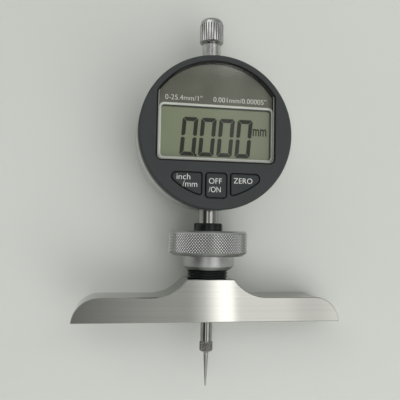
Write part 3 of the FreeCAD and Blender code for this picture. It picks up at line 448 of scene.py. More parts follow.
# %% Turned profiles
def eased(corners, ease, steps=4):
    """Round each corner of a closed profile with the curve (1-t)^2 A + 2t(1-t) C + t^2 B,
    where C is the corner and A and B lie at the distance ease before and after it."""
    corner = np.asarray(corners, float)
    before = np.roll(corner, 1, axis=0) - corner
    after = np.roll(corner, -1, axis=0) - corner
    reach_before = np.linalg.norm(before, axis=1, keepdims=True)
    reach_after = np.linalg.norm(after, axis=1, keepdims=True)
    a = corner + before / reach_before * np.minimum(ease, reach_before * 0.45)
    b = corner + after / reach_after * np.minimum(ease, reach_after * 0.45)
    t = np.linspace(0, 1, steps)[None, :, None]
    curve = (1 - t) ** 2 * a[:, None] + 2 * t * (1 - t) * corner[:, None] + t**2 * b[:, None]
    return curve.reshape(-1, 2)


def turned(radius, height, angle):
    """Points at radius and height, turned by angle about the stem: x = r sin, z = r cos."""
    return np.stack([radius * np.sin(angle), height + 0 * angle, radius * np.cos(angle)], axis=-1)


def around(count):
    """Evenly spaced angles of a full turn, as a column."""
    return np.linspace(0, 2 * math.pi, count, endpoint=False)[:, None]


# %% [markdown]
# The nut's grip has a diamond knurl: two sets of V grooves that cross. With p = n a / 2 pi + y / h and
# q = n a / 2 pi - y / h, each groove is deepest where p or q is a whole number, so the depth is the
# greater of two triangle waves. The bevels then cut the diamonds off, as the lathe tool does.

# %% Knurled clamp nut
KNURL_PITCH = 1.08
KNURL_RISE = 1.16
KNURL_DEPTH = 0.30
KNURL_STEPS = 8
SKIRT_HEIGHT = 5.2
SKIRT_RADIUS = 10.1
NUT_THROAT = 5.9
THREAD_ROOM = 0.07


def triangle(phase):
    """1 where the phase is a whole number and 0 halfway between."""
    return np.abs(2 * (phase - np.floor(phase)) - 1)


def diamonds(angle, height, count, rise, depth, flat=0.12):
    """Depth of crossing grooves with a narrow land left between them."""
    turn = count * angle / (2 * math.pi)
    deepest = np.maximum(triangle(turn + height / rise), triangle(turn - height / rise))
    return depth * np.clip((deepest - flat) / (1 - flat), 0, 1)


def clamp_nut():
    """The nut's profile, from its plain skirt over the knurled grip and down its bore, carried round."""
    radius, skirt, throat = nut_high[0], SKIRT_RADIUS, NUT_THROAT
    count = round(2 * math.pi * radius / KNURL_PITCH)
    low, high = nut_low[1], nut_high[1]
    skirt_top = low + SKIRT_HEIGHT
    bore = sleeve_high[0] + THREAD_ROOM
    side = np.arange(skirt_top + 1.3, high - 0.9, KNURL_RISE / KNURL_STEPS)
    grip = np.stack([np.full(side.shape, radius), side], axis=-1)
    rim = [(radius - 1.9, skirt_top), (radius - 1.3, skirt_top + 0.42), (radius - 0.65, skirt_top + 0.87)]
    crown = [(radius - 0.3, high - 0.6), (radius - 0.6, high - 0.3)]
    crown += [(radius - 0.9, high), (radius - 1.1, high)]
    inside = [(throat + 0.5, high), (throat, high - 0.5), (throat, high - 3.0)]
    inside += [(bore, high - 6.0), (bore, low + 0.4)]
    hem = [(bore + 0.4, low), (skirt - 1.4, low), (skirt - 1.3, low + 0.03), (skirt - 0.65, low + 0.66)]
    hem += [(skirt - 0.05, low + 1.25), (skirt, low + 1.4), (skirt, skirt_top - 0.15)]
    hem += [(skirt + 0.12, skirt_top - 0.02)]
    profile = np.concatenate([hem, rim, grip, crown, inside])
    angle = around(count * KNURL_STEPS)
    turn_radius, height = profile[:, 0][None], profile[:, 1][None]
    cut = radius - diamonds(angle, height, count, KNURL_RISE, KNURL_DEPTH)
    on_grip = (height > skirt_top + 0.01) & (turn_radius > skirt + 2)
    turn_radius = np.where(on_grip, np.minimum(turn_radius, cut), turn_radius)
    grid = turned(turn_radius, height, angle)
    finish = gripped_metal("satin_nickel", (0.48, 0.485, 0.48), 0.36, (skirt_top + 1.25, high - 0.9),
                           (radius - 0.28, radius - 0.05), (0.28, 1.45))
    grids = [(grid, True, True, False)]
    return piece("knurled_nut", grids, finish, "clamp_nut", 25.0, ("clamp_nut",))


clamp_nut()

# %% [markdown]
# The sleeve under the nut is blackened steel with a fine thread, and its top is a collet: a ring slit
# in three, whose fingers close on the stem. The thread's surface is one helix: its depth is a V wave
# of y / pitch minus the angle's share of a turn. A slit has parallel walls, so a finger of radius r
# ends at the angle asin(half width / r) from the slit's middle.

# %% Threaded sleeve and collet
THREAD_PITCH = 1.13
THREAD_DEPTH = 0.62
SLIT_HALF = 0.45
SLIT_FIRST = 45.0
SLEEVE_LENGTH = 11.4
SLEEVE_BORE = 4.4
COLLET_BORE = 4.06
COLLET_FOOT = 7.1
COLLET_MOUTH = 5.6
COLLET_FINGERS = 3


def threaded_sleeve():
    """The threaded ring, and the three fingers of the collet on it."""
    radius = sleeve_high[0]
    foot = base_high[1] - 0.05
    top = foot + SLEEVE_LENGTH
    side = np.arange(foot + 0.1, top - 0.4, THREAD_PITCH / 10)
    outer = np.stack([np.full(side.shape, radius), side], axis=-1)
    inner = [(radius - 0.55, top), (SLEEVE_BORE, top), (SLEEVE_BORE, foot), (radius - 0.4, foot)]
    profile = np.concatenate([outer, inner])
    angle = around(120)
    plain, height = profile[:, 0][None] + 0 * angle, profile[:, 1][None]
    vee = triangle(height / THREAD_PITCH - angle / (2 * math.pi))
    cut = radius - THREAD_DEPTH * np.clip(vee * 1.15 - 0.1, 0, 1)
    grid = turned(np.where(plain > SLEEVE_BORE, np.minimum(plain, cut), plain), height, angle)
    grids = [(grid, True, True, False)]
    bore, collet_top = COLLET_BORE, sleeve_high[1]
    ring = [(bore, top - 0.2), (COLLET_FOOT, top - 0.2), (COLLET_FOOT, top + 1.0)]
    ring += [(COLLET_MOUTH, top + 5.8), (COLLET_MOUTH, collet_top - 0.4), (COLLET_MOUTH - 0.4, collet_top)]
    ring += [(bore + 0.25, collet_top), (bore, collet_top - 0.25)]
    ring = eased(ring, 0.12)
    finger_turn = 360.0 / COLLET_FINGERS
    for number in range(COLLET_FINGERS):
        middle = math.radians(SLIT_FIRST + number * finger_turn)
        share = np.linspace(0, 1, 24)[:, None]
        edge = np.arcsin(SLIT_HALF / ring[:, 0])[None]
        angle = middle + edge + share * (math.radians(finger_turn) - 2 * edge)
        finger = turned(ring[:, 0][None], ring[:, 1][None], angle)
        grids.append((finger, False, True, True))
    finish = turned_metal("black_oxide", (0.028, 0.029, 0.031), 0.24, 0.5, 0.4, 0.6)
    return piece("threaded_sleeve", grids, finish, "base", 28.0, ("clamp_sleeve",))


threaded_sleeve()

# %% [markdown]
# The knob is fluted so that fingers can lift the plunger: straight V grooves, each a dip in the radius
# where n times the angle passes a whole turn. Its crown is domed, its foot bevelled, and a low hub
# under it nearly meets the bushing.

# %% Lifting knob
KNOB_FLUTES = 28
KNOB_FLUTE_DEPTH = 0.24
KNOB_BORE = 1.25
KNOB_BORE_DEPTH = 5.5
HUB_RADIUS = 3.3
HUB_DROP = 0.42
DOME_HEIGHT = 1.9
DOME_REACH = 1.8


def lifting_knob():
    """The knob's profile from its hub over the flutes and the dome, and down its blind bore."""
    radius = knob_high[0]
    low, high = knob_low[1], knob_high[1]
    start, end = low + 0.5, high - 2.3
    drop = low - HUB_DROP
    hub = [(KNOB_BORE + 0.05, drop), (HUB_RADIUS - 0.1, drop), (HUB_RADIUS, drop + 0.1), (HUB_RADIUS, low)]
    foot = [(radius - 0.5, low), (radius - 0.4, low + 0.04)]
    foot += [(radius - 0.05, low + 0.36), (radius, low + 0.43)]
    flutes = [(radius, start), (radius, start + 0.14), (radius, end - 0.2), (radius - 0.05, end)]
    shoulder = [(radius - 0.25, end + 0.06)]
    turn = np.linspace(0.25, math.pi / 2, 9)
    dome_radius = radius - 0.25 - DOME_REACH * (1 - np.cos(turn))
    dome = np.stack([dome_radius, high - DOME_HEIGHT * (1 - np.sin(turn))], axis=-1)
    floor = low + KNOB_BORE_DEPTH
    crown = [(1.2, high), (0.0, high), (0.0, floor), (KNOB_BORE, floor), (KNOB_BORE, low + 0.1)]
    profile = np.concatenate([hub, foot, flutes, shoulder, dome, crown])
    angle = around(KNOB_FLUTES * 10)
    between_ends = (profile[:, 1] > start) & (profile[:, 1] < end)
    reach = np.where(between_ends & (profile[:, 0] > radius - 0.04), 1.0, 0.0)
    groove = np.clip(1.6 * triangle(KNOB_FLUTES * angle / (2 * math.pi)) - 0.6, 0, 1)
    grid = turned(profile[:, 0][None] - KNOB_FLUTE_DEPTH * groove * reach[None], profile[:, 1][None], angle)
    finish = gripped_metal("satin_knob", (0.44, 0.44, 0.435), 0.17, (start - 0.1, end + 0.1),
                           (radius - KNOB_FLUTE_DEPTH, radius - 0.03), (0.25, 1.2))
    grids = [(grid, True, True, False)]
    return piece("fluted_knob", grids, finish, "plunger", 30.0, ("lifting_knob",))


lifting_knob()

# %% [markdown]
# The contact point screws into the plunger by a small knurled collar, and its needle tapers to a
# rounded tip. It is darker than the plunger, because it is hardened.

# %% Contact point
STUD_LENGTH = 5.0
STUD_RADIUS = 1.2
COLLAR_LENGTH = 3.9
COLLAR_RADIUS = 2.6
COLLAR_KNURLS = 18
COLLAR_RISE = 0.9
COLLAR_DEPTH = 0.25
NEEDLE_RADIUS = 0.9
NEEDLE_TAPER = 11.0
TIP_RADIUS = 0.28


def contact_point():
    """The point's profile: the stud, the knurled collar, and the needle with its ball at the tip."""
    top, tip = point_high[1] - STUD_LENGTH, point_low[1]
    collar, foot = COLLAR_RADIUS, top - COLLAR_LENGTH
    side = np.linspace(foot + 0.4, top - 0.55, 25)
    grip = np.stack([np.full(side.shape, collar), side], axis=-1)
    stud = [(0.0, top + STUD_LENGTH), (STUD_RADIUS, top + STUD_LENGTH), (STUD_RADIUS, top)]
    stud += [(1.95, top), (1.95, top - 0.22), (collar - 0.3, top - 0.24)]
    needle = [(collar - 0.35, foot), (1.35, foot - 0.05), (1.05, foot - 0.5)]
    needle += [(NEEDLE_RADIUS, foot - 1.1), (NEEDLE_RADIUS, tip + NEEDLE_TAPER)]
    end = np.linspace(0, math.pi / 2, 7)
    ball = np.stack([TIP_RADIUS * np.cos(end), tip + TIP_RADIUS - TIP_RADIUS * np.sin(end)], axis=-1)
    profile = np.concatenate([stud, grip[::-1], needle, ball])
    angle = around(COLLAR_KNURLS * 8)
    height = profile[:, 1][None]
    on_grip = profile[:, 0][None] > collar - 0.01
    cut = diamonds(angle, height, COLLAR_KNURLS, COLLAR_RISE, COLLAR_DEPTH)
    grid = turned(profile[:, 0][None] - np.where(on_grip, cut, 0), height, angle)
    finish = gripped_metal("hardened_steel", (0.40, 0.39, 0.375), 0.07, (foot + 0.3, top - 0.45),
                           (collar - 0.2, collar - 0.03), (0.14, 1.6))
    grids = [(grid, True, False, False)]
    return piece("knurled_point", grids, finish, "plunger", 28.0, ("contact_point",))


contact_point()

# %% [markdown]
# The window's outline is made of tangent arcs, and so are its pane and the frame printed round the
# display. Such a shape is easy to walk by the angle a of its outward direction: the point is
# C + (R + grow) (cos a, sin a), where C and R are those of the arc that looks that way.

# %% Outlines of tangent arcs
def arc_outline(arcs, grow, steps=14):
    """Points of an outline of (x, y, radius, first, last) arcs about the head's centre, one column for
    each grow."""
    centre, radius, angle = [], [], []
    for x, y, arc_radius, first, last in arcs:
        count = steps * (4 if arc_radius > 10 else 1)
        centre += [(x, y)] * count
        radius += [arc_radius] * count
        angle += np.radians(np.linspace(first, last, count)).tolist()
    centre, radius, angle = np.array(centre), np.array(radius)[:, None], np.array(angle)[:, None]
    reach = radius + np.asarray(grow)[None]
    x, y = centre[:, :1] + reach * np.cos(angle), HEAD_Y + centre[:, 1:] + reach * np.sin(angle)
    return np.stack([x, y], axis=-1)


def banded(arcs, profile):
    """Carry a profile of (grow, z) round an outline, as rows of profile points for the grid."""
    profile = np.asarray(profile, float)
    flat = arc_outline(arcs, profile[:, 0])
    level = np.broadcast_to(profile[:, 1][None, :, None], (*flat.shape[:2], 1))
    return np.concatenate([flat, level], axis=-1)


def window_arcs(half, arc, drop, corner):
    """The D of the window: two straight sides, a straight foot drop below the centre and an arc over it."""
    x, low = half - corner, corner - drop
    high = math.sqrt((arc - corner) ** 2 - x**2)
    turn = math.degrees(math.atan2(high, x))
    return [(x, low, corner, -90, 0), (x, high, corner, 0, turn), (0, 0, arc, turn, 180 - turn),
            (-x, high, corner, 180 - turn, 180), (-x, low, corner, 180, 270)]


def rectangle_arcs(left, right, low, high, corner):
    """A rectangle with rounded corners, as its four corner arcs."""
    x0, x1, y0, y1 = left + corner, right - corner, low + corner, high - corner
    return [(x1, y0, corner, -90, 0), (x1, y1, corner, 0, 90),
            (x0, y1, corner, 90, 180), (x0, y0, corner, 180, 270)]


WINDOW_HALF = 22.0
WINDOW_ARC = 26.2
WINDOW_DROP = 10.8
WINDOW_CORNER = 1.8
WINDOW = window_arcs(WINDOW_HALF, WINDOW_ARC, WINDOW_DROP, WINDOW_CORNER)

# %% [markdown]
# The pane is a plate with a narrow bevel round its front. A thin light line inside its edge is a painted
# highlight of that bevel, and a black seal lines the opening round it, painting the shade of the gap
# there. The pane's back stops a twentieth of a millimetre short of the printed panel, so that the two
# never share a plane.

# %% Window pane
LEDGE_Z = 12.15
LEDGE_WIDTH = 0.7


def window_pane():
    """The pane, whose wider foot bears on a ledge behind the shell."""
    front, back = lens_high[2], lens_low[2] + 0.05
    profile = [(-0.42, front), (-0.05, front - 0.32), (-0.05, LEDGE_Z + 0.1), (LEDGE_WIDTH, LEDGE_Z)]
    profile += [(LEDGE_WIDTH, back)]
    grids = [(np.swapaxes(banded(WINDOW, profile), 0, 1), False, True, True)]
    return piece("clear_window", grids, clear_pane(), "head", 25.0, ("window_lens",))


def pane_bevel_highlight():
    """A slim pale satin line inside the pane's bevel, a painted highlight of the bevel: on both sides and
    below, not over the arc."""
    front = lens_high[2]
    profile = [(-0.52, front - 0.02), (-0.48, front + 0.06), (-0.28, front - 0.06)]
    profile += [(-0.22, front - 0.4), (-0.4, front - 0.36)]
    grid = banded(WINDOW[3:] + WINDOW[:2], eased(profile, 0.03, 3))
    # painted highlight: a pale satin line set in the pane where its bevel catches light
    finish = printed("bevel_highlight_paint", (0.34, 0.345, 0.33), 0.35, 0.05)
    grids = [(np.swapaxes(grid, 0, 1), True, False, False)]
    return piece("window_bevel_highlight", grids, finish, "head", 40.0)


def window_seal_and_gap_shade():
    """A black seal that lines the opening in the shell, and a black border printed on the panel: both
    near black, as painted shade of the gap round the pane.
    """
    front, foot = head_high[2], LEDGE_Z + 0.15
    profile = [(0.02, foot), (0.02, front - 0.6), (0.38, front - 0.32), (0.38, foot)]
    low, high = mask_high[2] + 0.01, mask_high[2] + 0.03
    border = [(-0.34, low), (-0.34, high), (0.3, high), (0.3, low)]
    grids = [(banded(WINDOW, profile), True, True, False), (banded(WINDOW, border), True, True, False)]
    # painted shade: the seal and the border are near black, where the gap round the pane lies in shade
    finish = printed("black_seal_gap_shade", (0.006, 0.006, 0.006), 0.8)
    return piece("window_seal_and_gap_shade", grids, finish, "head", 40.0)


window_pane()
pane_bevel_highlight()
window_seal_and_gap_shade()

# %% [markdown]
# A pale frame is moulded round the display, slightly raised, with softly rounded corners. A dark band
# inside its top and right sides is painted shade, where the raised frame shades the display.

# %% Display frame
DISPLAY_FRAME = rectangle_arcs(-21.3, 22.12, -10.15, 10.6, 2.0)
DISPLAY_SHADE_LINE = rectangle_arcs(-20.4, 20.7, -9.2, 9.05, 0.9)
FRAME_WIDTH = 0.85


def display_frame():
    """The frame, an eased band round the display, and a band of painted shade inside its top and right
    sides.
    """
    low, high = display_high[2] + 0.01, lens_low[2] + 0.04
    bead = eased([(-FRAME_WIDTH, low), (-FRAME_WIDTH, high), (0.0, high), (0.0, low)], 0.06, 3)
    grid = banded(DISPLAY_FRAME, bead)
    finish = printed("pale_frame", (0.57, 0.58, 0.555), 0.4, 0.06)
    piece("display_frame", [(grid, True, True, False)], finish, "head", 40.0)
    # painted shade: the dark band between the frame and the display, wider at the top and right
    outer = arc_outline(DISPLAY_FRAME, [0.05 - FRAME_WIDTH])[:, 0]
    inner = arc_outline(DISPLAY_SHADE_LINE, [0.0])[:, 0]
    corners = [(inner, low), (inner, low + 0.03), (outer, low + 0.03), (outer, low)]
    grid = np.stack([np.column_stack([loop, np.full(len(loop), level)]) for loop, level in corners], axis=1)
    finish = printed("painted_display_shade", (0.04, 0.045, 0.035), 0.5, 0.05)
    piece("painted_display_shade", [(grid, True, True, False)], finish, "head", 40.0)


display_frame()

# %% [markdown]
# The reading is made of the display's segments: slim bars with mitred ends and small gaps between
# them, all sheared to the right by the same slope. A nought lights six of the seven.

# %% Digits
DIGIT_WIDTH = 5.85
DIGIT_HEIGHT = 14.4
DIGIT_PITCH = 6.93
DIGIT_LEFT = -13.5
DIGIT_COUNT = 4
DIGIT_FOOT = -8.8
STROKE = 1.5
MITRE = 0.55
BAR_GAP = 0.09
SLANT = math.tan(math.radians(4.6))
DECIMAL_POINT = [(-8.0, -8.95), (-7.05, -8.95), (-6.98, -8.05), (-7.93, -8.05)]


def nought():
    """The six lit bars of a nought, as corners (x, y) from the digit's lower left."""
    wide, high, middle = DIGIT_WIDTH, DIGIT_HEIGHT, DIGIT_HEIGHT / 2
    under = high - STROKE
    tip = high - MITRE + BAR_GAP
    top = [(MITRE + BAR_GAP, high), (wide - MITRE - BAR_GAP, high), (wide - MITRE + BAR_GAP, tip)]
    top += [(wide - STROKE - BAR_GAP, under), (STROKE + BAR_GAP, under), (MITRE - BAR_GAP, tip)]
    left = [(0, high - MITRE - 0.1), (MITRE - 0.2, high - MITRE + 0.1), (STROKE, under - 2 * BAR_GAP)]
    left += [(STROKE, middle + 0.75), (STROKE / 2, middle + 0.2), (0, middle + 0.55)]
    right = [(wide - x, y) for x, y in left]
    upper = [top, left, right]
    lower = [[(x, high - y) for x, y in bar] for bar in upper]
    return [np.array(bar) for bar in upper + lower]


def flat_bars(bars, z, thickness=0.03):
    """Thin plates from flat outlines: two rows of the same corners, capped."""
    grids = []
    for bar in bars:
        rows = [np.column_stack([bar, np.full(len(bar), level)]) for level in (z, z + thickness)]
        grids.append((np.stack(rows), False, True, True))
    return grids


def reading():
    """The four noughts and the decimal point. Returns them with their ink."""
    bars = []
    for index in range(DIGIT_COUNT):
        for bar in nought():
            sheared = bar[:, 0] + SLANT * bar[:, 1] + DIGIT_LEFT + index * DIGIT_PITCH
            bars.append(np.column_stack([sheared, bar[:, 1] + DIGIT_FOOT + HEAD_Y]))
    bars.append(np.array(DECIMAL_POINT) + (0, HEAD_Y))
    ink = printed("display_ink", (0.012, 0.012, 0.008), 0.6, 0.05)
    grids = flat_bars(bars, display_high[2] + 0.01)
    return piece("display_digits", grids, ink, "head"), ink


_, display_ink = reading()

# %% [markdown]
# Lettering is made from Blender's own plain font. Each word is turned into a mesh and fitted to the
# box that it fills on the gauge, because such lettering is narrower than the font.

# %% Lettering
def lettering(name, words, box, z, ink, body, bold=0.0, thickness=0.02):
    """Words fitted to the box (x0, y0, x1, y1) about the head's centre, on the level z."""
    curve = bpy.data.curves.new(name, "FONT")
    curve.body = words
    curve.extrude = 0.5
    curve.offset = bold
    curve.resolution_u = 4
    holder = bpy.data.objects.new(name, curve)
    bpy.context.scene.collection.objects.link(holder)
    bpy.context.view_layer.update()
    mesh = bpy.data.meshes.new_from_object(holder)
    bpy.data.objects.remove(holder)
    flat = np.empty(len(mesh.vertices) * 3)
    mesh.vertices.foreach_get("co", flat)
    points = flat.reshape(-1, 3)
    low, high = points.min(0), points.max(0)
    share = (points - low) / (high - low)
    x = box[0] + share[:, 0] * (box[2] - box[0])
    y = HEAD_Y + box[1] + share[:, 1] * (box[3] - box[1])
    level = z + share[:, 2] * thickness
    mesh.vertices.foreach_set("co", placed(np.column_stack([x, y, level])).ravel())
    mesh.materials.clear()
    mesh.update()
    return finished(name, mesh, ink, body)


white_ink = printed("white_ink", (0.70, 0.71, 0.69), 0.45, 0.04)
UNIT_BOX = (14.3, -0.3, 19.6, 2.5)
UNIT_BOLD = 0.018
lettering("unit_mm", "mm", UNIT_BOX, display_high[2] + 0.01, display_ink, "head", UNIT_BOLD)

WINDOW_INK_Z = mask_high[2] + 0.01
WINDOW_BOLD = -0.008
WINDOW_WORDS = [
    ("range_words", "0-25.4mm/1''", (-19.1, 11.7, -5.3, 13.6)),
    ("step_words", "0.001mm/0.00005''", (-1.1, 11.7, 19.3, 13.6)),
]
for name, words, box in WINDOW_WORDS:
    lettering(name, words, box, WINDOW_INK_Z, white_ink, "head", WINDOW_BOLD)

BUTTON_INK_Z = button_high[2] + 0.003
BUTTON_BOLD = -0.012
BUTTON_WORDS = [
    ("inch_word", "inch", (-14.6, -17.85, -9.7, -15.75), "inch_mm_button"),
    ("slash_mm_word", "/mm", (-12.45, -20.45, -7.1, -18.3), "inch_mm_button"),
    ("off_word", "OFF", (-2.8, -19.1, 2.0, -17.1), "on_off_button"),
    ("slash_on_word", "/ON", (-2.8, -22.2, 1.6, -20.2), "on_off_button"),
    ("zero_word", "ZERO", (6.45, -18.7, 13.5, -16.75), "zero_button"),
]
for name, words, box, body in BUTTON_WORDS:
    lettering(name, words, box, BUTTON_INK_Z, white_ink, body, BUTTON_BOLD)

# %% [markdown]
# Solids whose shape is already right keep it and only get their finish, outer pieces first and then
# the ones inside the head, which show when the gauge is taken apart.

# %% Dress the solids
def dress(finish, *nodes):
    """Give CAD nodes a finish in all their material slots."""
    for node in nodes:
        mesh = frame["nodes"][node].data
        if not mesh.materials:
            mesh.materials.append(finish)
        for slot in range(len(mesh.materials)):
            mesh.materials[slot] = finish


dress(ground_steel(), "base_bar")
dress(bead_blasted("graphite_shell", (0.0225, 0.0265, 0.027), 0.55, 0.0), "front_bezel")
dress(bead_blasted("button_grey", (0.017, 0.021, 0.022), 0.52, 0.0),
      "inch_mm_button", "on_off_button", "zero_button")
dress(bead_blasted("cast_aluminium", (0.60, 0.60, 0.59), 0.36, 1.0), "rear_case", "back_cover")
dress(turned_metal("polished_steel", (0.35, 0.347, 0.337), 0.09, 0.5, 0.1), "stem", "spindle")
dress(turned_metal("satin_bushing", (0.54, 0.54, 0.53), 0.27, 0.6, 0.2), "upper_bushing")
dress(turned_metal("dark_screws", (0.05, 0.05, 0.05), 0.35, 0.4, 0.3, 0.8), "back_cover_screws")
dress(bead_blasted("cap_black", (0.03, 0.03, 0.032), 0.5, 0.0), "battery_cap")
dress(printed("olive_panel", (0.118, 0.117, 0.094), 0.5, 0.10), "face_mask")
dress(display_glass(), "lcd_glass")
dress(printed("black_rubber", (0.02, 0.02, 0.02), 0.7),
      "bezel_gasket", "keypad", "zebra_strip", "stop_washer")
dress(printed("white_moulding", (0.6, 0.6, 0.57), 0.5), "lcd_frame", "scale_carrier", "guide_rail")
dress(printed("green_board", (0.02, 0.13, 0.05), 0.35, 0.15),
      "circuit_board", "sensor_board", "scale_strip")
dress(printed("black_resin", (0.01, 0.01, 0.01), 0.15), "processor")
dress(turned_metal("bright_metal", (0.7, 0.7, 0.69), 0.2, 0.3, 0.2),
      "battery", "battery_side_clip", "battery_top_contact", "board_screws", "guide_pin", "return_spring")
dress(turned_metal("bronze", (0.55, 0.36, 0.17), 0.3, 0.5, 0.3), "lower_bush")

# %% [markdown]
# The gauge lies on a plain pale table. Far off the sheet bends up into a wall, as paper does in a studio,
# so that views from the side have the same plain ground: a profile of flat, quarter round and wall,
# carried round the upright axis.

# %% Table
SHEET_FLAT = 3.4
SHEET_BEND = 0.6
SHEET_WALL = 1.2
PALER_FROM = 1200.0
PALER_TO = 3800.0


def table():
    """The sheet, whose colour grows paler far off, where less light falls on it."""
    bend = np.linspace(0, math.pi / 2, 9)
    radius = np.concatenate([[0, 0.6], SHEET_FLAT + SHEET_BEND * np.sin(bend), [SHEET_FLAT + SHEET_BEND]])
    height = np.concatenate([[0, 0], SHEET_BEND - SHEET_BEND * np.cos(bend), [SHEET_BEND + SHEET_WALL]])
    angle = around(72)
    points = np.stack([radius * np.cos(angle), radius * np.sin(angle), height + 0 * angle], axis=-1)
    mesh = bpy.data.meshes.new("table")
    faces = grid_faces(0, *points.shape[:2], True, False, False)
    mesh.from_pydata(points.reshape(-1, 3).tolist(), [], [face[::-1] for face in faces])
    mesh.shade_smooth()
    material, surface, point = new_finish("pale_table", roughness=0.75)
    patch = noise(point, 0.004, 2.0)
    sheet = patch.between(0.3, 0.7).colours((0.53, 0.55, 0.515, 1), (0.56, 0.58, 0.545, 1))
    away = point.node("ShaderNodeVectorMath", {"operation": "LENGTH"}, {0: point}, "Value")
    feed(surface, base_color=away.between(PALER_FROM, PALER_TO).colours(sheet, (0.84, 0.86, 0.82, 1)))
    mesh.materials.append(material)
    thing = bpy.data.objects.new("table", mesh)
    bpy.context.scene.collection.objects.link(thing)
    thing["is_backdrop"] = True


table()

# %% [markdown]
# The camera looks almost straight down on the table, a little from the left and from below the display.
# Its place and its three turns are given in the gauge's own axes, and its lens fits a square frame.

# %% Camera
CAMERA_PLACE = (-38.77, 34.71, 201.12)
CAMERA_YAW = 9.968
CAMERA_PITCH = -3.101
CAMERA_ROLL = -1.125
LENS_PIXELS = 525.858
FRAME_PIXELS = 400


def turn_about(axis, degrees):
    """A turn about one of the camera's own axes."""
    return Matrix.Rotation(math.radians(degrees), 3, axis)


def camera():
    """A camera that looks along -z of the gauge, turned first about y, then about x and z."""
    data = bpy.data.cameras.new("camera")
    data.sensor_width = 36.0
    data.lens = LENS_PIXELS / FRAME_PIXELS * data.sensor_width
    data.clip_start = 0.01
    turn = turn_about("Z", CAMERA_ROLL) @ turn_about("X", CAMERA_PITCH) @ turn_about("Y", CAMERA_YAW)
    to_world = Matrix(AXES.tolist()) @ turn.transposed()
    thing = bpy.data.objects.new("camera", data)
    thing.matrix_world = Matrix.Translation(Vector(placed([CAMERA_PLACE])[0])) @ to_world.to_4x4()
    bpy.context.scene.collection.objects.link(thing)
    bpy.context.scene.camera = thing
    print("camera at", [round(part, 4) for part in thing.matrix_world.translation])


camera()

# %% [markdown]
# Two wide lamps light the table from the right and from above, so shadows are soft and fall to the
# left. Metal shows what it reflects, and lamps in its mirror would leave hard squares, so both lamps
# are hidden from it. The world gives it long soft panels instead: a broad one on the right with a
# bright core draws the white band on the base, and a slim one on the left gives the stem and the
# plunger their second stripe. The window would mirror them too, so they fade out over the display.

# %% Lamps
def lamp(name, azimuth, height, distance, width, length, watts):
    """A rectangle of light aimed at the gauge, at an angle from +X round the table and a height above
    it. It lights rough surfaces only, and no metal or glass shows it."""
    data = bpy.data.lights.new(name, "AREA")
    data.shape = "RECTANGLE"
    data.size = width
    data.size_y = length
    data.energy = watts
    thing = bpy.data.objects.new(name, data)
    thing.visible_glossy = False
    turn, rise = math.radians(azimuth), math.radians(height)
    level = math.cos(rise)
    place = Vector((math.cos(turn) * level, math.sin(turn) * level, math.sin(rise))) * distance
    thing.matrix_world = Matrix.Translation(place) @ place.to_track_quat("Z", "Y").to_matrix().to_4x4()
    bpy.context.scene.collection.objects.link(thing)


lamp("key", azimuth=-50, height=38, distance=0.9, width=0.6, length=0.6, watts=1.0)
lamp("overhead", azimuth=-10, height=68, distance=1.0, width=1.4, length=1.4, watts=6.2)

# %% [markdown]
# A panel is a band of directions: bright between two angles of asin(x) and soft at both its sides. Seen
# from the gauge, x and y are the parts of the direction along the base and along the stem. The first
# panel darkens the left, and the last is the bright core. Towards both ends of y the panels give way to
# a plain light, which slopes from left to right and fades near the horizon.

# %% World
SKY_TONE = 0.27
# Each panel's start, first, last and end angle in degrees, and the light that it adds
PANELS = [
    (-62, -54, -32, -24, -0.20),
    (-21, -17, -7, -1, 0.93),
    (2, 16, 42, 56, 0.38),
    (16.8, 20.4, 38, 44, 0.85),
    (27, 29.4, 30.2, 33, -0.28),
    (18.6, 20.9, 21.65, 22.2, 1.25),
]
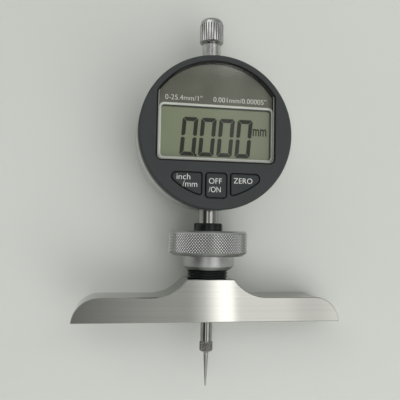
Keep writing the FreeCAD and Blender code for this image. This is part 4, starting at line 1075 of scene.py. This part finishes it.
# Stretches along y, each as where it fades in and where it fades out, and then three single fades
KNOB_STRETCH = (0.335, 0.35), (0.40, 0.50)
DISPLAY_STRETCH = (0.04, 0.12), (0.282, 0.30)
SOUTH_FADE = -0.30, -0.44
NORTH_FADE = 0.40, 0.50
HORIZON_FADE = 0.72, 0.9


def band(angle, start, first, last, end):
    """0 up to start, 1 from first to last and 0 from end on, all in degrees."""
    rise = angle.between(math.radians(start), math.radians(first))
    return rise * (1 - angle.between(math.radians(last), math.radians(end)))


def stretch(along, fade_in, fade_out):
    """1 in a stretch along y, with soft ends."""
    return along.between(*fade_in) - along.between(*fade_out)


def world():
    """Soft panels overhead: each is a band by the angle asin(x) of the direction. The knob gets broad
    side panels of its own, the display gets little, and towards both ends of y all is pale."""
    sky = bpy.data.worlds.new("sky")
    sky.use_nodes = True
    bpy.context.scene.world = sky
    start = Shade(sky.node_tree)
    way = start.node("ShaderNodeTexCoord", out="Generated")
    across = way.node("ShaderNodeSeparateXYZ", {}, {"Vector": way}, "X")
    along = across.also("Y")
    angle = across.maths("ARCSINE", across)
    tone = SKY_TONE
    for *edges, light in PANELS:
        tone = tone + band(angle, *edges) * light
    sides = angle.maths("ABSOLUTE", angle).between(0.5, 0.8)
    tone = tone + stretch(along, *KNOB_STRETCH) * sides * 0.8
    tone = tone * (1 - stretch(along, *DISPLAY_STRETCH) * 0.85)
    south = along.between(*SOUTH_FADE)
    north = along.between(*NORTH_FADE)
    right = angle.between(-0.6, 0.6)
    ends = south * (0.45 + right * 0.8) + north * (1.75 - right * 1.3)
    low = along.maths("ABSOLUTE", along).between(*HORIZON_FADE)
    tone = tone * (1 - south - north) + ends * (1 - low * 0.85)
    background = sky.node_tree.nodes["Background"]
    sky.node_tree.links.new(tone.socket, background.inputs["Strength"])
    background.inputs["Color"].default_value = (1.0, 1.0, 0.985, 1.0)


world()
bpy.context.scene.view_settings.view_transform = "Standard"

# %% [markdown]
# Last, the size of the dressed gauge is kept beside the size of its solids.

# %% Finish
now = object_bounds()
sizes = {"cad": [list(corner) for corner in cad_box], "visual": [list(corner) for corner in now]}
print("dressed size", [round((high - low) * 1000, 2) for low, high in zip(*sizes["visual"])])
